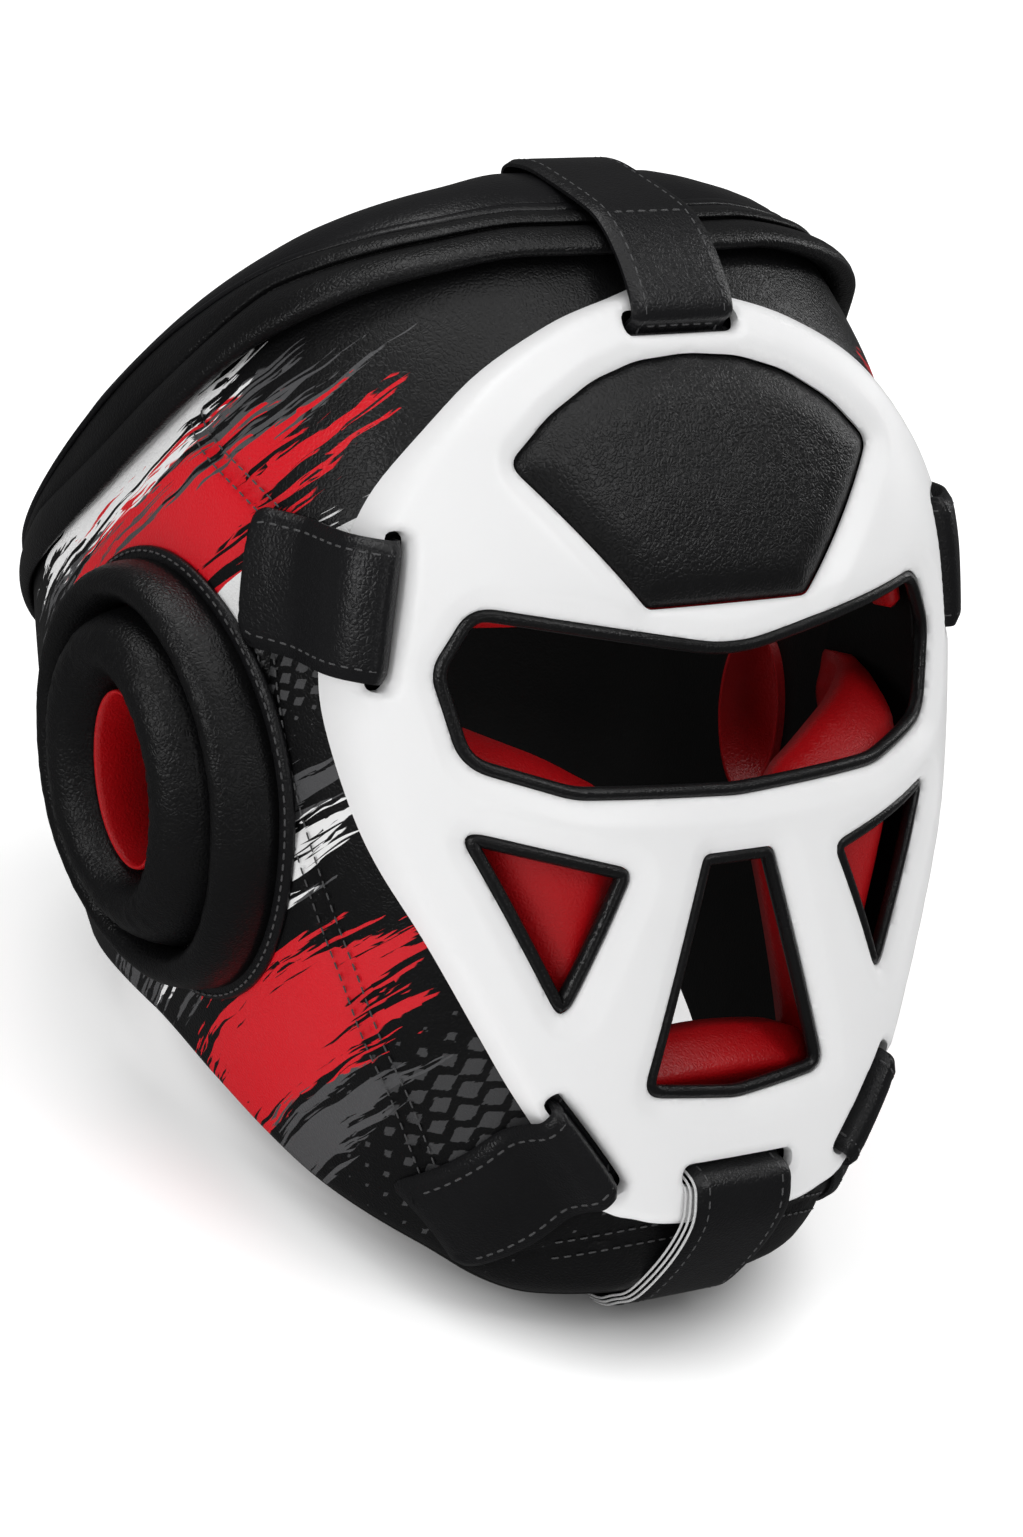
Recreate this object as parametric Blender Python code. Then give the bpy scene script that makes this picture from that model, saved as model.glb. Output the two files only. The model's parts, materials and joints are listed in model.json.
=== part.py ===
"""Boxing head guard: a padded leather shell with ear pads, and a face grill held on by straps.

While it is built, the guard stands upright: the origin is on the mid plane at ear height, +X is to
the wearer's left, the face looks to -Y and +Z is up.  Right and left pieces are mirror images.
The last step leans the guard back onto its chin strap and its nape, as it rests by itself.
"""
import math

import bmesh
import bpy
from mathutils import Matrix, Vector

MM = 0.001

# The form: the outside of the leather, without the grill
FORM_WIDTH = 214 * MM
FORM_DEPTH = 240 * MM
FORM_HEIGHT = 280 * MM
PLAN_CENTRE = 5 * MM        # where the plan is widest, behind the ear line
FRONT_POWER = 2.8           # squareness of the plan in front and behind; 2 is an ellipse
BACK_POWER = 2.45
WALL_FRONT = 20 * MM        # padded wall at the forehead, and at the nape
WALL_BACK = 13 * MM
GAP = 0.3 * MM              # between neighbouring pieces

# Height as a share of FORM_HEIGHT; half width, front and back as shares of width / 2 and depth
FORM = [
    # height, half_width, front, back
    (-0.457, 0.486, 0.392, 0.275),
    (-0.421, 0.617, 0.446, 0.342),
    (-0.339, 0.748, 0.483, 0.400),
    (-0.214, 0.850, 0.496, 0.450),
    (0.000, 0.972, 0.492, 0.517),
    (0.214, 1.000, 0.471, 0.529),
    (0.357, 0.944, 0.425, 0.488),
    (0.464, 0.832, 0.362, 0.425),
    (0.536, 0.692, 0.296, 0.350),
    (0.582, 0.542, 0.229, 0.275),
    (0.614, 0.374, 0.158, 0.192),
]

# Edges of the shell, by the angle from the middle of the face round to the nape
EDGES = [
    # angle in degrees, neck edge, lower edge of the crown band, crown edge: shares of FORM_HEIGHT
    (0, -0.454, 0.511, 0.571),
    (22, -0.454, 0.511, 0.571),
    (40, -0.405, 0.493, 0.558),
    (60, -0.355, 0.443, 0.530),
    (82, -0.285, 0.342, 0.465),
    (100, -0.232, 0.262, 0.380),
    (125, -0.202, 0.172, 0.245),
    (150, -0.200, 0.088, 0.150),
    (180, -0.200, 0.058, 0.112),
]
EDGE_CAP = 6 * MM           # height over which the padded edges round off
STATIONS = 48               # sections round the shell, its band and its binding

# Crown band and binding, raised from the form
BAND_RISE = 5 * MM
ROLL_RISE = 9 * MM
ROLL_WIDTH = 12 * MM
BINDING_RISE = 2 * MM
BAND_BACK = 0.4             # share of the band's rise that is left behind the ears

# Face grill
GRILL_HALF = 0.43925 * FORM_WIDTH      # 94 mm, half width of the grill seen from the front
GRILL_TOP = 0.48214 * FORM_HEIGHT      # 135 mm
GRILL_OUT = 8 * MM          # outer face of the grill over the form
GRILL_WALL = 4.5 * MM
GRILL_EDGE = 7 * MM         # rim of the grill that reaches back to the leather
PLATE_CELL = 12 * MM        # grid that lets a plate follow the form

# Outline of the grill, its right half seen from the front, top to bottom
GRILL_OUTLINE = [
    # x as a share of GRILL_HALF, z as a share of GRILL_TOP
    (0.00, 1.000), (0.17, 0.975), (0.38, 0.930), (0.62, 0.838), (0.83, 0.690), (0.93, 0.572),
    (0.99, 0.430), (1.00, 0.311), (0.99, 0.207), (0.95, 0.060), (0.90, -0.052), (0.81, -0.185),
    (0.69, -0.363), (0.59, -0.500), (0.42, -0.685), (0.31, -0.724), (0.20, -0.742), (0.00, -0.748),
]

# Corners of the openings with their rounding: the right half of those on the mid plane
EYE_CORNERS = [
    # x and radius as shares of GRILL_HALF, z as a share of GRILL_TOP
    (0.00, 0.3447, 0.60), (0.74, 0.4456, 0.09), (0.835, 0.3273, 0.13), (0.775, 0.1497, 0.13),
    (0.50, 0.0836, 0.30), (0.00, 0.0641, 0.60),
]
MOUTH_CORNERS = [
    (0.116, -0.0383, 0.030), (0.310, -0.4874, 0.055), (0.000, -0.5139, 0.300),
]
WINDOW_CORNERS = [
    (0.00, 0.876, 0.50), (0.17, 0.867, 0.40), (0.32, 0.836, 0.40), (0.47, 0.776, 0.40),
    (0.600, 0.693, 0.045), (0.265, 0.4213, 0.045),
]
CHEEK_CORNERS = [
    (0.790, 0.0404, 0.035), (0.330, -0.0522, 0.040), (0.530, -0.3377, 0.035),
]

# Slots for the straps: centre, half length, half width and lean of the long side, seen from the front
SLOT_HALF_WIDTH = 3.2 * MM
TOP_SLOT = (0.0, GRILL_TOP - 9 * MM, 18 * MM, 0.0)
CHIN_SLOT = (0.0, -0.6481 * GRILL_TOP, 17.5 * MM, 0.0)
TEMPLE_SLOT = (0.917 * GRILL_HALF, 0.4333 * GRILL_TOP, 20 * MM, 81.0)
JAW_SLOT = (0.4638 * GRILL_HALF, -0.5652 * GRILL_TOP, 16.5 * MM, -54.5)
TEMPLE_SLOT_HALF_WIDTH = 2.5 * MM      # looks narrow from the front, where the grill turns back
JAW_SLOT_HALF_WIDTH = 2.9 * MM
JAW_STRAP_WAY = (0.606, -0.795)        # from the slot to the flap, seen from the front

# Opening of the shell behind the grill, right half
FACE_CORNERS = [
    # x and radius as shares of GRILL_HALF, z as a share of GRILL_TOP
    (0.00, 0.4512, 0.30), (0.80, 0.4512, 0.10), (0.87, 0.1462, 0.15), (0.81, -0.0348, 0.15),
    (0.60, -0.3899, 0.12), (0.38, -0.5361, 0.08), (0.00, -0.5361, 0.30),
]
PAD_FRONT = -2 * MM         # faces of the pads in the opening, from the form
PAD_BACK = -19 * MM
LINING_STRIP = 7 * MM
CHIN_PAD_TOP = -0.4 * GRILL_TOP
TRIM_RADIUS = 1.5 * MM
TRIM_SEAT = 4.5 * MM
TRIM_STEP = 2.5 * MM        # closest two sections of a bead
PANEL_RISE = 5.5 * MM

# Ear pads, ovals on the side of the form
EAR_Y = -0.0625 * FORM_DEPTH           # 15 mm in front of the middle
EAR_Z = 0.02857 * FORM_HEIGHT          # 8 mm
EAR_HOLE = (15 * MM, 24 * MM)          # half length and half height of the opening
DONUT_WIDTH = 21 * MM
DONUT_RISE = 20 * MM
RING_WIDTH = 11.5 * MM
RING_RISE = 15 * MM
FLANGE_REACH = 3.5 * MM                # how far the stitched flange shows outside the ring
FLANGE_RISE = 1.8 * MM
LINING_WALL = 1.2 * MM
EAR_STATIONS = 24

# Straps
STRAP = 2.0 * MM                       # thickness of the leather straps
TOP_STRAP_HALF = 15.5 * MM
CHIN_STRAP_HALF = 15 * MM
SIDE_STRAP_HALF = 17.5 * MM
TEMPLE_STRAP_RISE = 0.33 * MM          # for each degree round from the slot to the flap
TEMPLE_SLOT_TURN = 0.05 / MM           # degrees round the form for each length up the slot
JAW_STRAP_HALF = 14.5 * MM

REST_FLAT = 0.8 * MM                   # how far soft leather is pressed flat where it rests


def smooth(table, column, at):
    """Value of a column of a table at a place in its first column, on a curve without overshoot."""
    xs = [row[0] for row in table]
    ys = [row[column] for row in table]
    at = min(max(at, xs[0]), xs[-1])
    rises = [(y1 - y0) / (x1 - x0) for x0, x1, y0, y1 in zip(xs, xs[1:], ys, ys[1:])]
    inner = [0.0 if a * b <= 0 else 2 * a * b / (a + b) for a, b in zip(rises, rises[1:])]
    slopes = [rises[0], *inner, rises[-1]]
    i = max(k for k in range(len(xs) - 1) if xs[k] <= at)
    step = xs[i + 1] - xs[i]
    t = (at - xs[i]) / step
    return (ys[i] * (1 + 2 * t) * (1 - t) ** 2 + slopes[i] * step * t * (1 - t) ** 2
            + ys[i + 1] * t * t * (3 - 2 * t) + slopes[i + 1] * step * t * t * (t - 1))


def plan(z, out):
    """Half width, front and back of the form at a height, moved outward."""
    share = z / FORM_HEIGHT
    half = smooth(FORM, 1, share) * FORM_WIDTH / 2 + out
    front = -smooth(FORM, 2, share) * FORM_DEPTH - out
    back = smooth(FORM, 3, share) * FORM_DEPTH + out
    return half, front, back


def round_point(angle, z, out=0.0):
    """Point of the form at an angle, in degrees, from the middle of the face towards +X."""
    half, front, back = plan(z, out)
    across = math.sin(math.radians(angle))
    along = -math.cos(math.radians(angle))
    power = BACK_POWER if along > 0 else FRONT_POWER
    reach = back - PLAN_CENTRE if along > 0 else PLAN_CENTRE - front
    radius = (abs(across / half) ** power + abs(along / reach) ** power) ** (-1 / power)
    return Vector((radius * across, PLAN_CENTRE + radius * along, z))


def front_point(x, z, out=0.0):
    """Point on the front of the form, seen from the front."""
    half, front, _ = plan(z, out)
    share = min(abs(x) / half, 1.0)
    return Vector((x, PLAN_CENTRE - (PLAN_CENTRE - front) * (1 - share ** FRONT_POWER) ** (1 / FRONT_POWER), z))


def side_point(y, z, out, side):
    """Point on the side of the form, seen from the side."""
    half, front, back = plan(z, out)
    power = BACK_POWER if y > PLAN_CENTRE else FRONT_POWER
    reach = back - PLAN_CENTRE if y > PLAN_CENTRE else PLAN_CENTRE - front
    share = min(abs(y - PLAN_CENTRE) / reach, 1.0)
    return Vector((side * half * (1 - share ** power) ** (1 / power), y, z))


def edge(name, angle):
    """Height of an edge of the shell at an angle from the middle of the face."""
    column = ("angle", "neck", "band", "crown").index(name)
    return smooth(EDGES, column, abs((angle + 180) % 360 - 180)) * FORM_HEIGHT


def material(name, colour, roughness):
    made = bpy.data.materials.new(name)
    made.use_nodes = True
    shader = made.node_tree.nodes["Principled BSDF"]
    shader.inputs["Base Color"].default_value = (*colour, 1.0)
    shader.inputs["Roughness"].default_value = roughness
    made.diffuse_color = (*colour, 1.0)
    return made


BLACK = (0.02, 0.02, 0.022)
RED = (0.45, 0.01, 0.02)
WHITE = (0.85, 0.85, 0.86)


def add_piece(name, mesh, colour, roughness=0.5):
    """Object of one closed solid with its own material and outward faces."""
    work = bmesh.new()
    work.from_mesh(mesh)
    bmesh.ops.triangulate(work, faces=work.faces)
    face_outward(work)
    work.to_mesh(mesh)
    work.free()
    mesh.name = name
    mesh.materials.clear()
    mesh.materials.append(material(name, colour, roughness))
    piece = bpy.data.objects.new(name, mesh)
    bpy.context.scene.collection.objects.link(piece)
    return piece


def loft(name, sections, closed=True):
    """Mesh through rings of points; an open loft gets a cap on each end."""
    count = len(sections[0])
    total = len(sections)
    faces = []
    for i in range(total if closed else total - 1):
        here = i * count
        there = (i + 1) % total * count
        for j in range(count):
            after = (j + 1) % count
            faces.append((here + j, here + after, there + after, there + j))
    if not closed:
        faces.append(tuple(range(count)))
        faces.append(tuple(range((total - 1) * count, total * count)))
    mesh = bpy.data.meshes.new(name)
    mesh.from_pydata([point for section in sections for point in section], [], faces)
    return mesh


def rounded(corners, steps=5):
    """Closed outline through corners (x, z, radius), with each corner rounded as far as it has room."""
    outline = []
    count = len(corners)
    for i in range(count):
        corner = Vector(corners[i][:2])
        before = Vector(corners[i - 1][:2]) - corner
        after = Vector(corners[(i + 1) % count][:2]) - corner
        half_angle = before.angle(after) / 2
        room = 0.48 * min(before.length, after.length)
        reach = min(corners[i][2] / math.tan(half_angle), room)
        start = corner + before.normalized() * reach
        end = corner + after.normalized() * reach
        if reach < 1e-6 or half_angle > math.radians(89.5):
            outline.append(corner)
            continue
        for k in range(steps + 1):
            t = k / steps
            # a quadratic bend is close enough to the arc at these sizes
            outline.append(start * (1 - t) ** 2 + corner * 2 * t * (1 - t) + end * t * t)
    return outline


def mirrored(corners):
    """Corners of a whole outline from its right half, listed from the top to the bottom."""
    left = [(-x, z, radius) for x, z, radius in reversed(corners) if x > 0]
    return list(corners) + left


def sized(corners):
    """Corners of an opening in metres."""
    return [(x * GRILL_HALF, z * GRILL_TOP, radius * GRILL_HALF) for x, z, radius in corners]


def slot_outline(slot, half_width, side=1):
    """Outline of a slot with round ends."""
    x, z, half_length, lean = slot
    along = Vector((math.cos(math.radians(lean)), math.sin(math.radians(-lean))))
    across = Vector((-along.y, along.x))
    centre = Vector((x, z))
    ends = [(half_length, half_width), (-half_length, half_width),
            (-half_length, -half_width), (half_length, -half_width)]
    corners = [centre + along * u + across * v for u, v in ends]
    return [Vector((side * p.x, p.y)) for p in rounded([(*c, half_width * 0.9) for c in corners], 3)]


def inset(outline, by):
    """Outline moved inward; the points run the same way round."""
    count = len(outline)
    area = sum(a.x * b.y - b.x * a.y for a, b in zip(outline, outline[1:] + outline[:1]))
    turn = 1 if area > 0 else -1
    moved = []
    for i in range(count):
        before = (outline[i] - outline[i - 1]).normalized()
        after = (outline[(i + 1) % count] - outline[i]).normalized()
        first = Vector((-before.y, before.x))
        second = Vector((-after.y, after.x))
        normal = (first + second).normalized()
        moved.append(outline[i] + normal * (turn * by / max(normal.dot(first), 0.5)))
    return moved


def prism(outline, low, high, axis):
    """Cutter with an outline seen along an axis: 'Y' for the front view, 'X' for the side view."""
    rings = []
    for level in (low, high):
        if axis == "Y":
            rings.append([Vector((p.x, level, p.y)) for p in outline])
        else:
            rings.append([Vector((level, p.x, p.y)) for p in outline])
    return closed_normals(loft("prism", rings, closed=False))


def face_outward(work):
    """Turn the faces of a closed body outward."""
    bmesh.ops.recalc_face_normals(work, faces=work.faces)
    if work.calc_volume(signed=True) < 0:
        bmesh.ops.reverse_faces(work, faces=work.faces)


def closed_normals(mesh):
    work = bmesh.new()
    work.from_mesh(mesh)
    face_outward(work)
    work.to_mesh(mesh)
    work.free()
    return mesh


def carve(mesh, cutters):
    """Mesh after cutters, each a mesh with 'DIFFERENCE' or 'INTERSECT'."""
    base = bpy.data.objects.new("carved", mesh)
    bpy.context.scene.collection.objects.link(base)
    helpers = []
    for cutter, operation in cutters:
        helper = bpy.data.objects.new("cutter", cutter)
        bpy.context.scene.collection.objects.link(helper)
        helpers.append(helper)
        modifier = base.modifiers.new("cut", "BOOLEAN")
        modifier.operation = operation
        modifier.solver = "EXACT"
        modifier.object = helper
    graph = bpy.context.evaluated_depsgraph_get()
    result = bpy.data.meshes.new_from_object(base.evaluated_get(graph))
    for helper in [base, *helpers]:
        bpy.data.objects.remove(helper)
    return result


def face_plate(outline, holes, inner, outer, cell=PLATE_CELL):
    """Plate on the front of the form; inner and outer give its faces over the form at (x, z)."""
    xs = [p.x for p in outline]
    zs = [p.y for p in outline]
    wide = math.ceil((max(xs) - min(xs)) / cell) + 1
    tall = math.ceil((max(zs) - min(zs)) / cell) + 1
    centre = Vector(((max(xs) + min(xs)) / 2, 0, (max(zs) + min(zs)) / 2))
    work = bmesh.new()
    bmesh.ops.create_grid(work, x_segments=wide, y_segments=tall, size=0.5)
    bmesh.ops.scale(work, vec=(wide * cell, tall * cell, 1), verts=work.verts)
    bmesh.ops.rotate(work, matrix=Matrix.Rotation(math.pi / 2, 3, "X"), verts=work.verts)
    bmesh.ops.translate(work, vec=centre - Vector((0, cell, 0)), verts=work.verts)
    made = bmesh.ops.extrude_face_region(work, geom=work.faces[:])
    raised = [item for item in made["geom"] if isinstance(item, bmesh.types.BMVert)]
    bmesh.ops.translate(work, vec=(0, 2 * cell, 0), verts=raised)
    bmesh.ops.recalc_face_normals(work, faces=work.faces)
    slab = bpy.data.meshes.new("slab")
    work.to_mesh(slab)
    work.free()
    cutters = [(prism(outline, -2 * cell, 2 * cell, "Y"), "INTERSECT")]
    cutters += [(prism(hole, -2 * cell, 2 * cell, "Y"), "DIFFERENCE") for hole in holes]
    flat = carve(slab, cutters)
    work = bmesh.new()
    work.from_mesh(flat)
    bmesh.ops.remove_doubles(work, verts=work.verts, dist=0.1 * MM)
    bmesh.ops.triangulate(work, faces=work.faces)
    for vert in work.verts:
        x, y, z = vert.co
        out = outer(x, z) if y < 0 else inner(x, z)
        vert.co = front_point(x, z, out)
    work.to_mesh(flat)
    work.free()
    return flat


def wall_half(angle):
    """Half the thickness of the padded wall at an angle from the middle of the face."""
    backness = (1 - math.cos(math.radians(angle))) / 2
    return (WALL_FRONT + (WALL_BACK - WALL_FRONT) * backness) / 2


def cap_point(angle, turn, rise=0.0, crown=True):
    """Place (z, out) on the rounded edge of the wall, or risen from it; turn 0 is the outside."""
    half = wall_half(angle)
    bend = math.radians(turn)
    lift = (EDGE_CAP + rise) * math.sin(bend)
    out = -half + (half + rise) * math.cos(bend)
    if crown:
        return edge("crown", angle) - EDGE_CAP + lift, out
    return edge("neck", angle) + EDGE_CAP - lift, out


def crowded(steps):
    """Shares from 0 to 1, closer together at both ends, where the form bends most."""
    return [0.5 - 0.5 * math.cos(math.pi * k / steps) for k in range(steps + 1)]


def make_shell():
    """Padded wall from the neck edge to the crown edge, with the face opening and the ear holes."""
    sections = []
    for station in range(STATIONS):
        angle = 360 * station / STATIONS
        low = edge("neck", angle) + EDGE_CAP
        high = edge("crown", angle) - EDGE_CAP
        section = [(low + (high - low) * share, 0.0) for share in crowded(10)]
        section += [cap_point(angle, turn) for turn in (45, 90, 135)]
        section += [(high - (high - low) * share, -2 * wall_half(angle)) for share in crowded(8)]
        section += [cap_point(angle, turn, crown=False) for turn in (135, 90, 45)]
        sections.append([round_point(angle, z, out) for z, out in section])
    wall = closed_normals(loft("shell", sections))
    opening = prism(rounded(mirrored(sized(FACE_CORNERS))), -0.2, -0.03, "Y")
    cutters = [(opening, "DIFFERENCE")]
    for side in (1, -1):
        low, high = sorted((side * 0.05, side * 0.2))
        cutters.append((prism(oval(*EAR_HOLE), low, high, "X"), "DIFFERENCE"))
    return welded(carve(wall, cutters))


def welded(mesh):
    """Mesh without the slivers that cutting leaves."""
    work = bmesh.new()
    work.from_mesh(mesh)
    bmesh.ops.remove_doubles(work, verts=work.verts, dist=0.02 * MM)
    work.to_mesh(mesh)
    work.free()
    return mesh


def oval(half_length, half_height):
    """Oval round the ear, as (y, z)."""
    turns = [2 * math.pi * k / EAR_STATIONS for k in range(EAR_STATIONS)]
    return [Vector((EAR_Y + half_length * math.cos(t), EAR_Z + half_height * math.sin(t))) for t in turns]


def crown_ring(profile):
    """Closed ring round the crown; profile(angle) gives its section as (z, out)."""
    sections = []
    for station in range(STATIONS):
        angle = 360 * station / STATIONS
        sections.append([round_point(angle, z, out) for z, out in profile(angle)])
    return loft("ring", sections)


def band_share(angle):
    """Share of the band's full rise at an angle: it flattens from the temples to the ears."""
    turn = abs((angle + 180) % 360 - 180)
    return 1 - (1 - BAND_BACK) * min(max((turn - 55) / 50, 0), 1)


def band_profile(angle):
    low = edge("band", angle)
    high = edge("crown", angle) - EDGE_CAP - 1 * MM
    roll = min(ROLL_WIDTH, (high - low) * 0.75)
    roll_rise = ROLL_RISE * band_share(angle)
    band_rise = BAND_RISE * band_share(angle)
    return [
        (low, 2 * GAP), (low - 0.12 * roll, 0.5 * roll_rise), (low + 0.15 * roll, 0.92 * roll_rise),
        (low + 0.5 * roll, roll_rise), (low + roll, band_rise + 0.5 * MM),
        (high - 0.1 * roll, band_rise), (high, 0.5 * band_rise), (high, 2 * GAP),
        (low + 0.67 * (high - low), 2 * GAP), (low + 0.33 * (high - low), 2 * GAP),
    ]


def binding_profile(angle):
    """Leather strip over the outer half of the rounded crown edge."""
    over = [cap_point(angle, turn, BINDING_RISE) for turn in (12, 50, 95)]
    under = [cap_point(angle, turn, GAP + 0.2 * MM) for turn in (95, 50, 12)]
    return over + under


def ear_ring(inner, width, base, rise, side, rounds=True):
    """Padded oval ring on the side of the form; inner is the half length and half height inside it."""
    if rounds:
        profile = [(0, base), (0, 0.72 * rise), (0.2 * width, 0.95 * rise), (0.5 * width, rise),
                   (0.8 * width, 0.92 * rise), (width, 0.66 * rise), (width, base)]
    else:
        profile = [(0, base), (0, rise), (width, rise), (width, base)]
    sections = []
    for k in range(EAR_STATIONS):
        turn = 2 * math.pi * k / EAR_STATIONS
        section = []
        for reach, out in profile:
            y = EAR_Y + (inner[0] + reach) * math.cos(turn)
            z = EAR_Z + (inner[1] + reach) * math.sin(turn)
            section.append(side_point(y, z, out, side))
        sections.append(section)
    return loft("ring", sections)


def grill_face(outline):
    """Inner face of the grill over the form: back to the leather along the outer edge."""
    def inner(x, z):
        spot = Vector((x, z))
        near = min((distance(spot, a, b) for a, b in zip(outline, outline[1:] + outline[:1])))
        return GAP if near < GRILL_EDGE / 2 else GRILL_OUT - GRILL_WALL
    return inner


def distance(spot, start, end):
    """Distance from a spot to a stretch of outline."""
    way = end - start
    share = max(0.0, min(1.0, (spot - start).dot(way) / max(way.length_squared, 1e-12)))
    return (spot - start - way * share).length


def openings():
    """Outlines of the openings and slots of the grill, by name."""
    made = {
        "eye": rounded(mirrored(sized(EYE_CORNERS))),
        "mouth": rounded(mirrored(sized(MOUTH_CORNERS))),
        "window": rounded(mirrored(sized(WINDOW_CORNERS))),
        "top_slot": slot_outline(TOP_SLOT, SLOT_HALF_WIDTH),
        "chin_slot": slot_outline(CHIN_SLOT, SLOT_HALF_WIDTH),
    }
    for side, word in ((1, "left"), (-1, "right")):
        cheek = rounded(sized(CHEEK_CORNERS))
        made["cheek_" + word] = [Vector((side * p.x, p.y)) for p in cheek]
        made["temple_slot_" + word] = slot_outline(TEMPLE_SLOT, TEMPLE_SLOT_HALF_WIDTH, side)
        made["jaw_slot_" + word] = slot_outline(JAW_SLOT, JAW_SLOT_HALF_WIDTH, side)
    return made


def trim(outline):
    """Bead of black edging just inside an opening of the grill."""
    centre = inset(outline, TRIM_RADIUS + GAP)
    path = []
    for spot in centre:
        if all((spot - other).length > TRIM_STEP for other in path):
            path.append(spot)
    sections = []
    for i, spot in enumerate(path):
        way = (path[(i + 1) % len(path)] - path[i - 1]).normalized()
        across = Vector((-way.y, way.x))
        section = []
        for turn in (0, 90, 180, 270):
            bend = math.radians(turn)
            at = spot + across * (TRIM_RADIUS * math.cos(bend))
            section.append(front_point(at.x, at.y, TRIM_SEAT + TRIM_RADIUS * math.sin(bend)))
        sections.append(section)
    return loft("trim", sections)


def ribbon(path, thickness):
    """Closed outline of a strap seen on edge, from its middle line."""
    spots = [Vector(spot) for spot in path]
    above = []
    below = []
    for i, spot in enumerate(spots):
        way = (spots[min(i + 1, len(spots) - 1)] - spots[max(i - 1, 0)]).normalized()
        across = Vector((-way.y, way.x)) * thickness / 2
        above.append(spot + across)
        below.append(spot - across)
    return above + below[::-1]


def bent(points, steps=3):
    """Path through points with soft bends between them."""
    spots = [Vector(point) for point in points]
    spots = [spots[0], *spots, spots[-1]]
    path = []
    for i in range(1, len(spots) - 2):
        for k in range(steps):
            t = k / steps
            p0, p1, p2, p3 = spots[i - 1:i + 3]
            path.append(0.5 * (2 * p1 + (p2 - p0) * t + (2 * p0 - 5 * p1 + 4 * p2 - p3) * t * t
                               + (3 * p1 - p0 - 3 * p2 + p3) * t ** 3))
    path.append(spots[-2])
    return path


def strap(points, half_width, place, steps=1, across=2):
    """Strap from its path on edge; place(u, v, width) puts a point of it in space."""
    outline = ribbon(bent(points, steps), STRAP)
    sections = []
    for k in range(across + 1):
        width = half_width * (2 * k / across - 1)
        sections.append([place(p.x, p.y, width) for p in outline])
    return loft("strap", sections, closed=False)


def mid_spot(z, out):
    """Point on the middle of the front as (y, z)."""
    return (front_point(0, z, out).y, z)


def make_top_strap():
    """From inside the crown edge, over it, and down through the top slot of the grill."""
    crown = edge("crown", 0)
    slot = TOP_SLOT[1]
    over = BINDING_RISE + GAP + STRAP
    lift = GAP + STRAP / 2
    path = [(crown - 26 * MM, -WALL_FRONT - 2.6 * lift), (crown - 15 * MM, -WALL_FRONT - 2.4 * lift)]
    path += [cap_point(0, turn, over) for turn in (175, 140, 105, 70, 40)]
    path += [
        (crown - 5.5 * MM, ROLL_RISE + 1.0 * MM), (crown - 10 * MM, ROLL_RISE + 3.2 * MM),
        (crown - 16 * MM, ROLL_RISE + 3.4 * MM), (slot + 11 * MM, GRILL_OUT + 3.6 * MM),
        (slot + 5 * MM, GRILL_OUT + 2.4 * MM), (slot + 1.4 * MM, GRILL_OUT + 0.4 * MM),
        (slot - 0.6 * MM, GRILL_OUT - 3.5 * MM), (slot - 3.0 * MM, 1.2 * lift), (slot - 6.5 * MM, 1.2 * lift),
    ]
    spots = [mid_spot(z, out) for z, out in path]
    return strap(spots, TOP_STRAP_HALF, lambda y, z, width: Vector((width, y, z)), across=1)


def make_chin_strap():
    """From behind the chin slot, out and under the chin edge, and up inside the chin."""
    neck = edge("neck", 0)
    slot = CHIN_SLOT[1]
    lift = GAP + STRAP / 2
    path = [
        (slot + 12 * MM, lift), (slot + 4.5 * MM, 1.1 * lift), (slot + 1.4 * MM, GRILL_OUT - 5.0 * MM),
        (slot - 1.2 * MM, GRILL_OUT + 0.2 * MM), (slot - 5 * MM, GRILL_OUT + 2.2 * MM),
        (slot - 13 * MM, GRILL_OUT + 2.0 * MM), (neck + 15 * MM, 5.5 * MM),
    ]
    path += [cap_point(0, turn, 2.6 * lift, crown=False) for turn in (20, 50, 75, 100, 130, 160)]
    path += [(neck + 16 * MM, -WALL_FRONT - 3.0 * lift), (neck + 27 * MM, -WALL_FRONT - 2.8 * lift)]
    spots = [mid_spot(z, out) for z, out in path]
    return strap(spots, CHIN_STRAP_HALF, lambda y, z, width: Vector((width, y, z)), across=1)


def to_grill_edge(start, way):
    """How far the outer edge of the grill is from a place on it, seen from the front."""
    corners = [Vector((x * GRILL_HALF, z * GRILL_TOP)) for x, z in GRILL_OUTLINE]
    across = Vector((-way.y, way.x))
    for one, two in zip(corners, corners[1:]):
        first, second = (one - start).dot(across), (two - start).dot(across)
        spot = one + (two - one) * first / (first - second) if first * second < 0 else None
        if spot and (spot - start).dot(way) > 0:
            return (spot - start).dot(way)
    return 0.0


def turn_of(x, z):
    """Angle, round from the middle of the face, of a place seen from the front, in degrees."""
    spot = front_point(x, z, GRILL_OUT)
    return math.degrees(math.atan2(spot.x, PLAN_CENTRE - spot.y))


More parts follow.
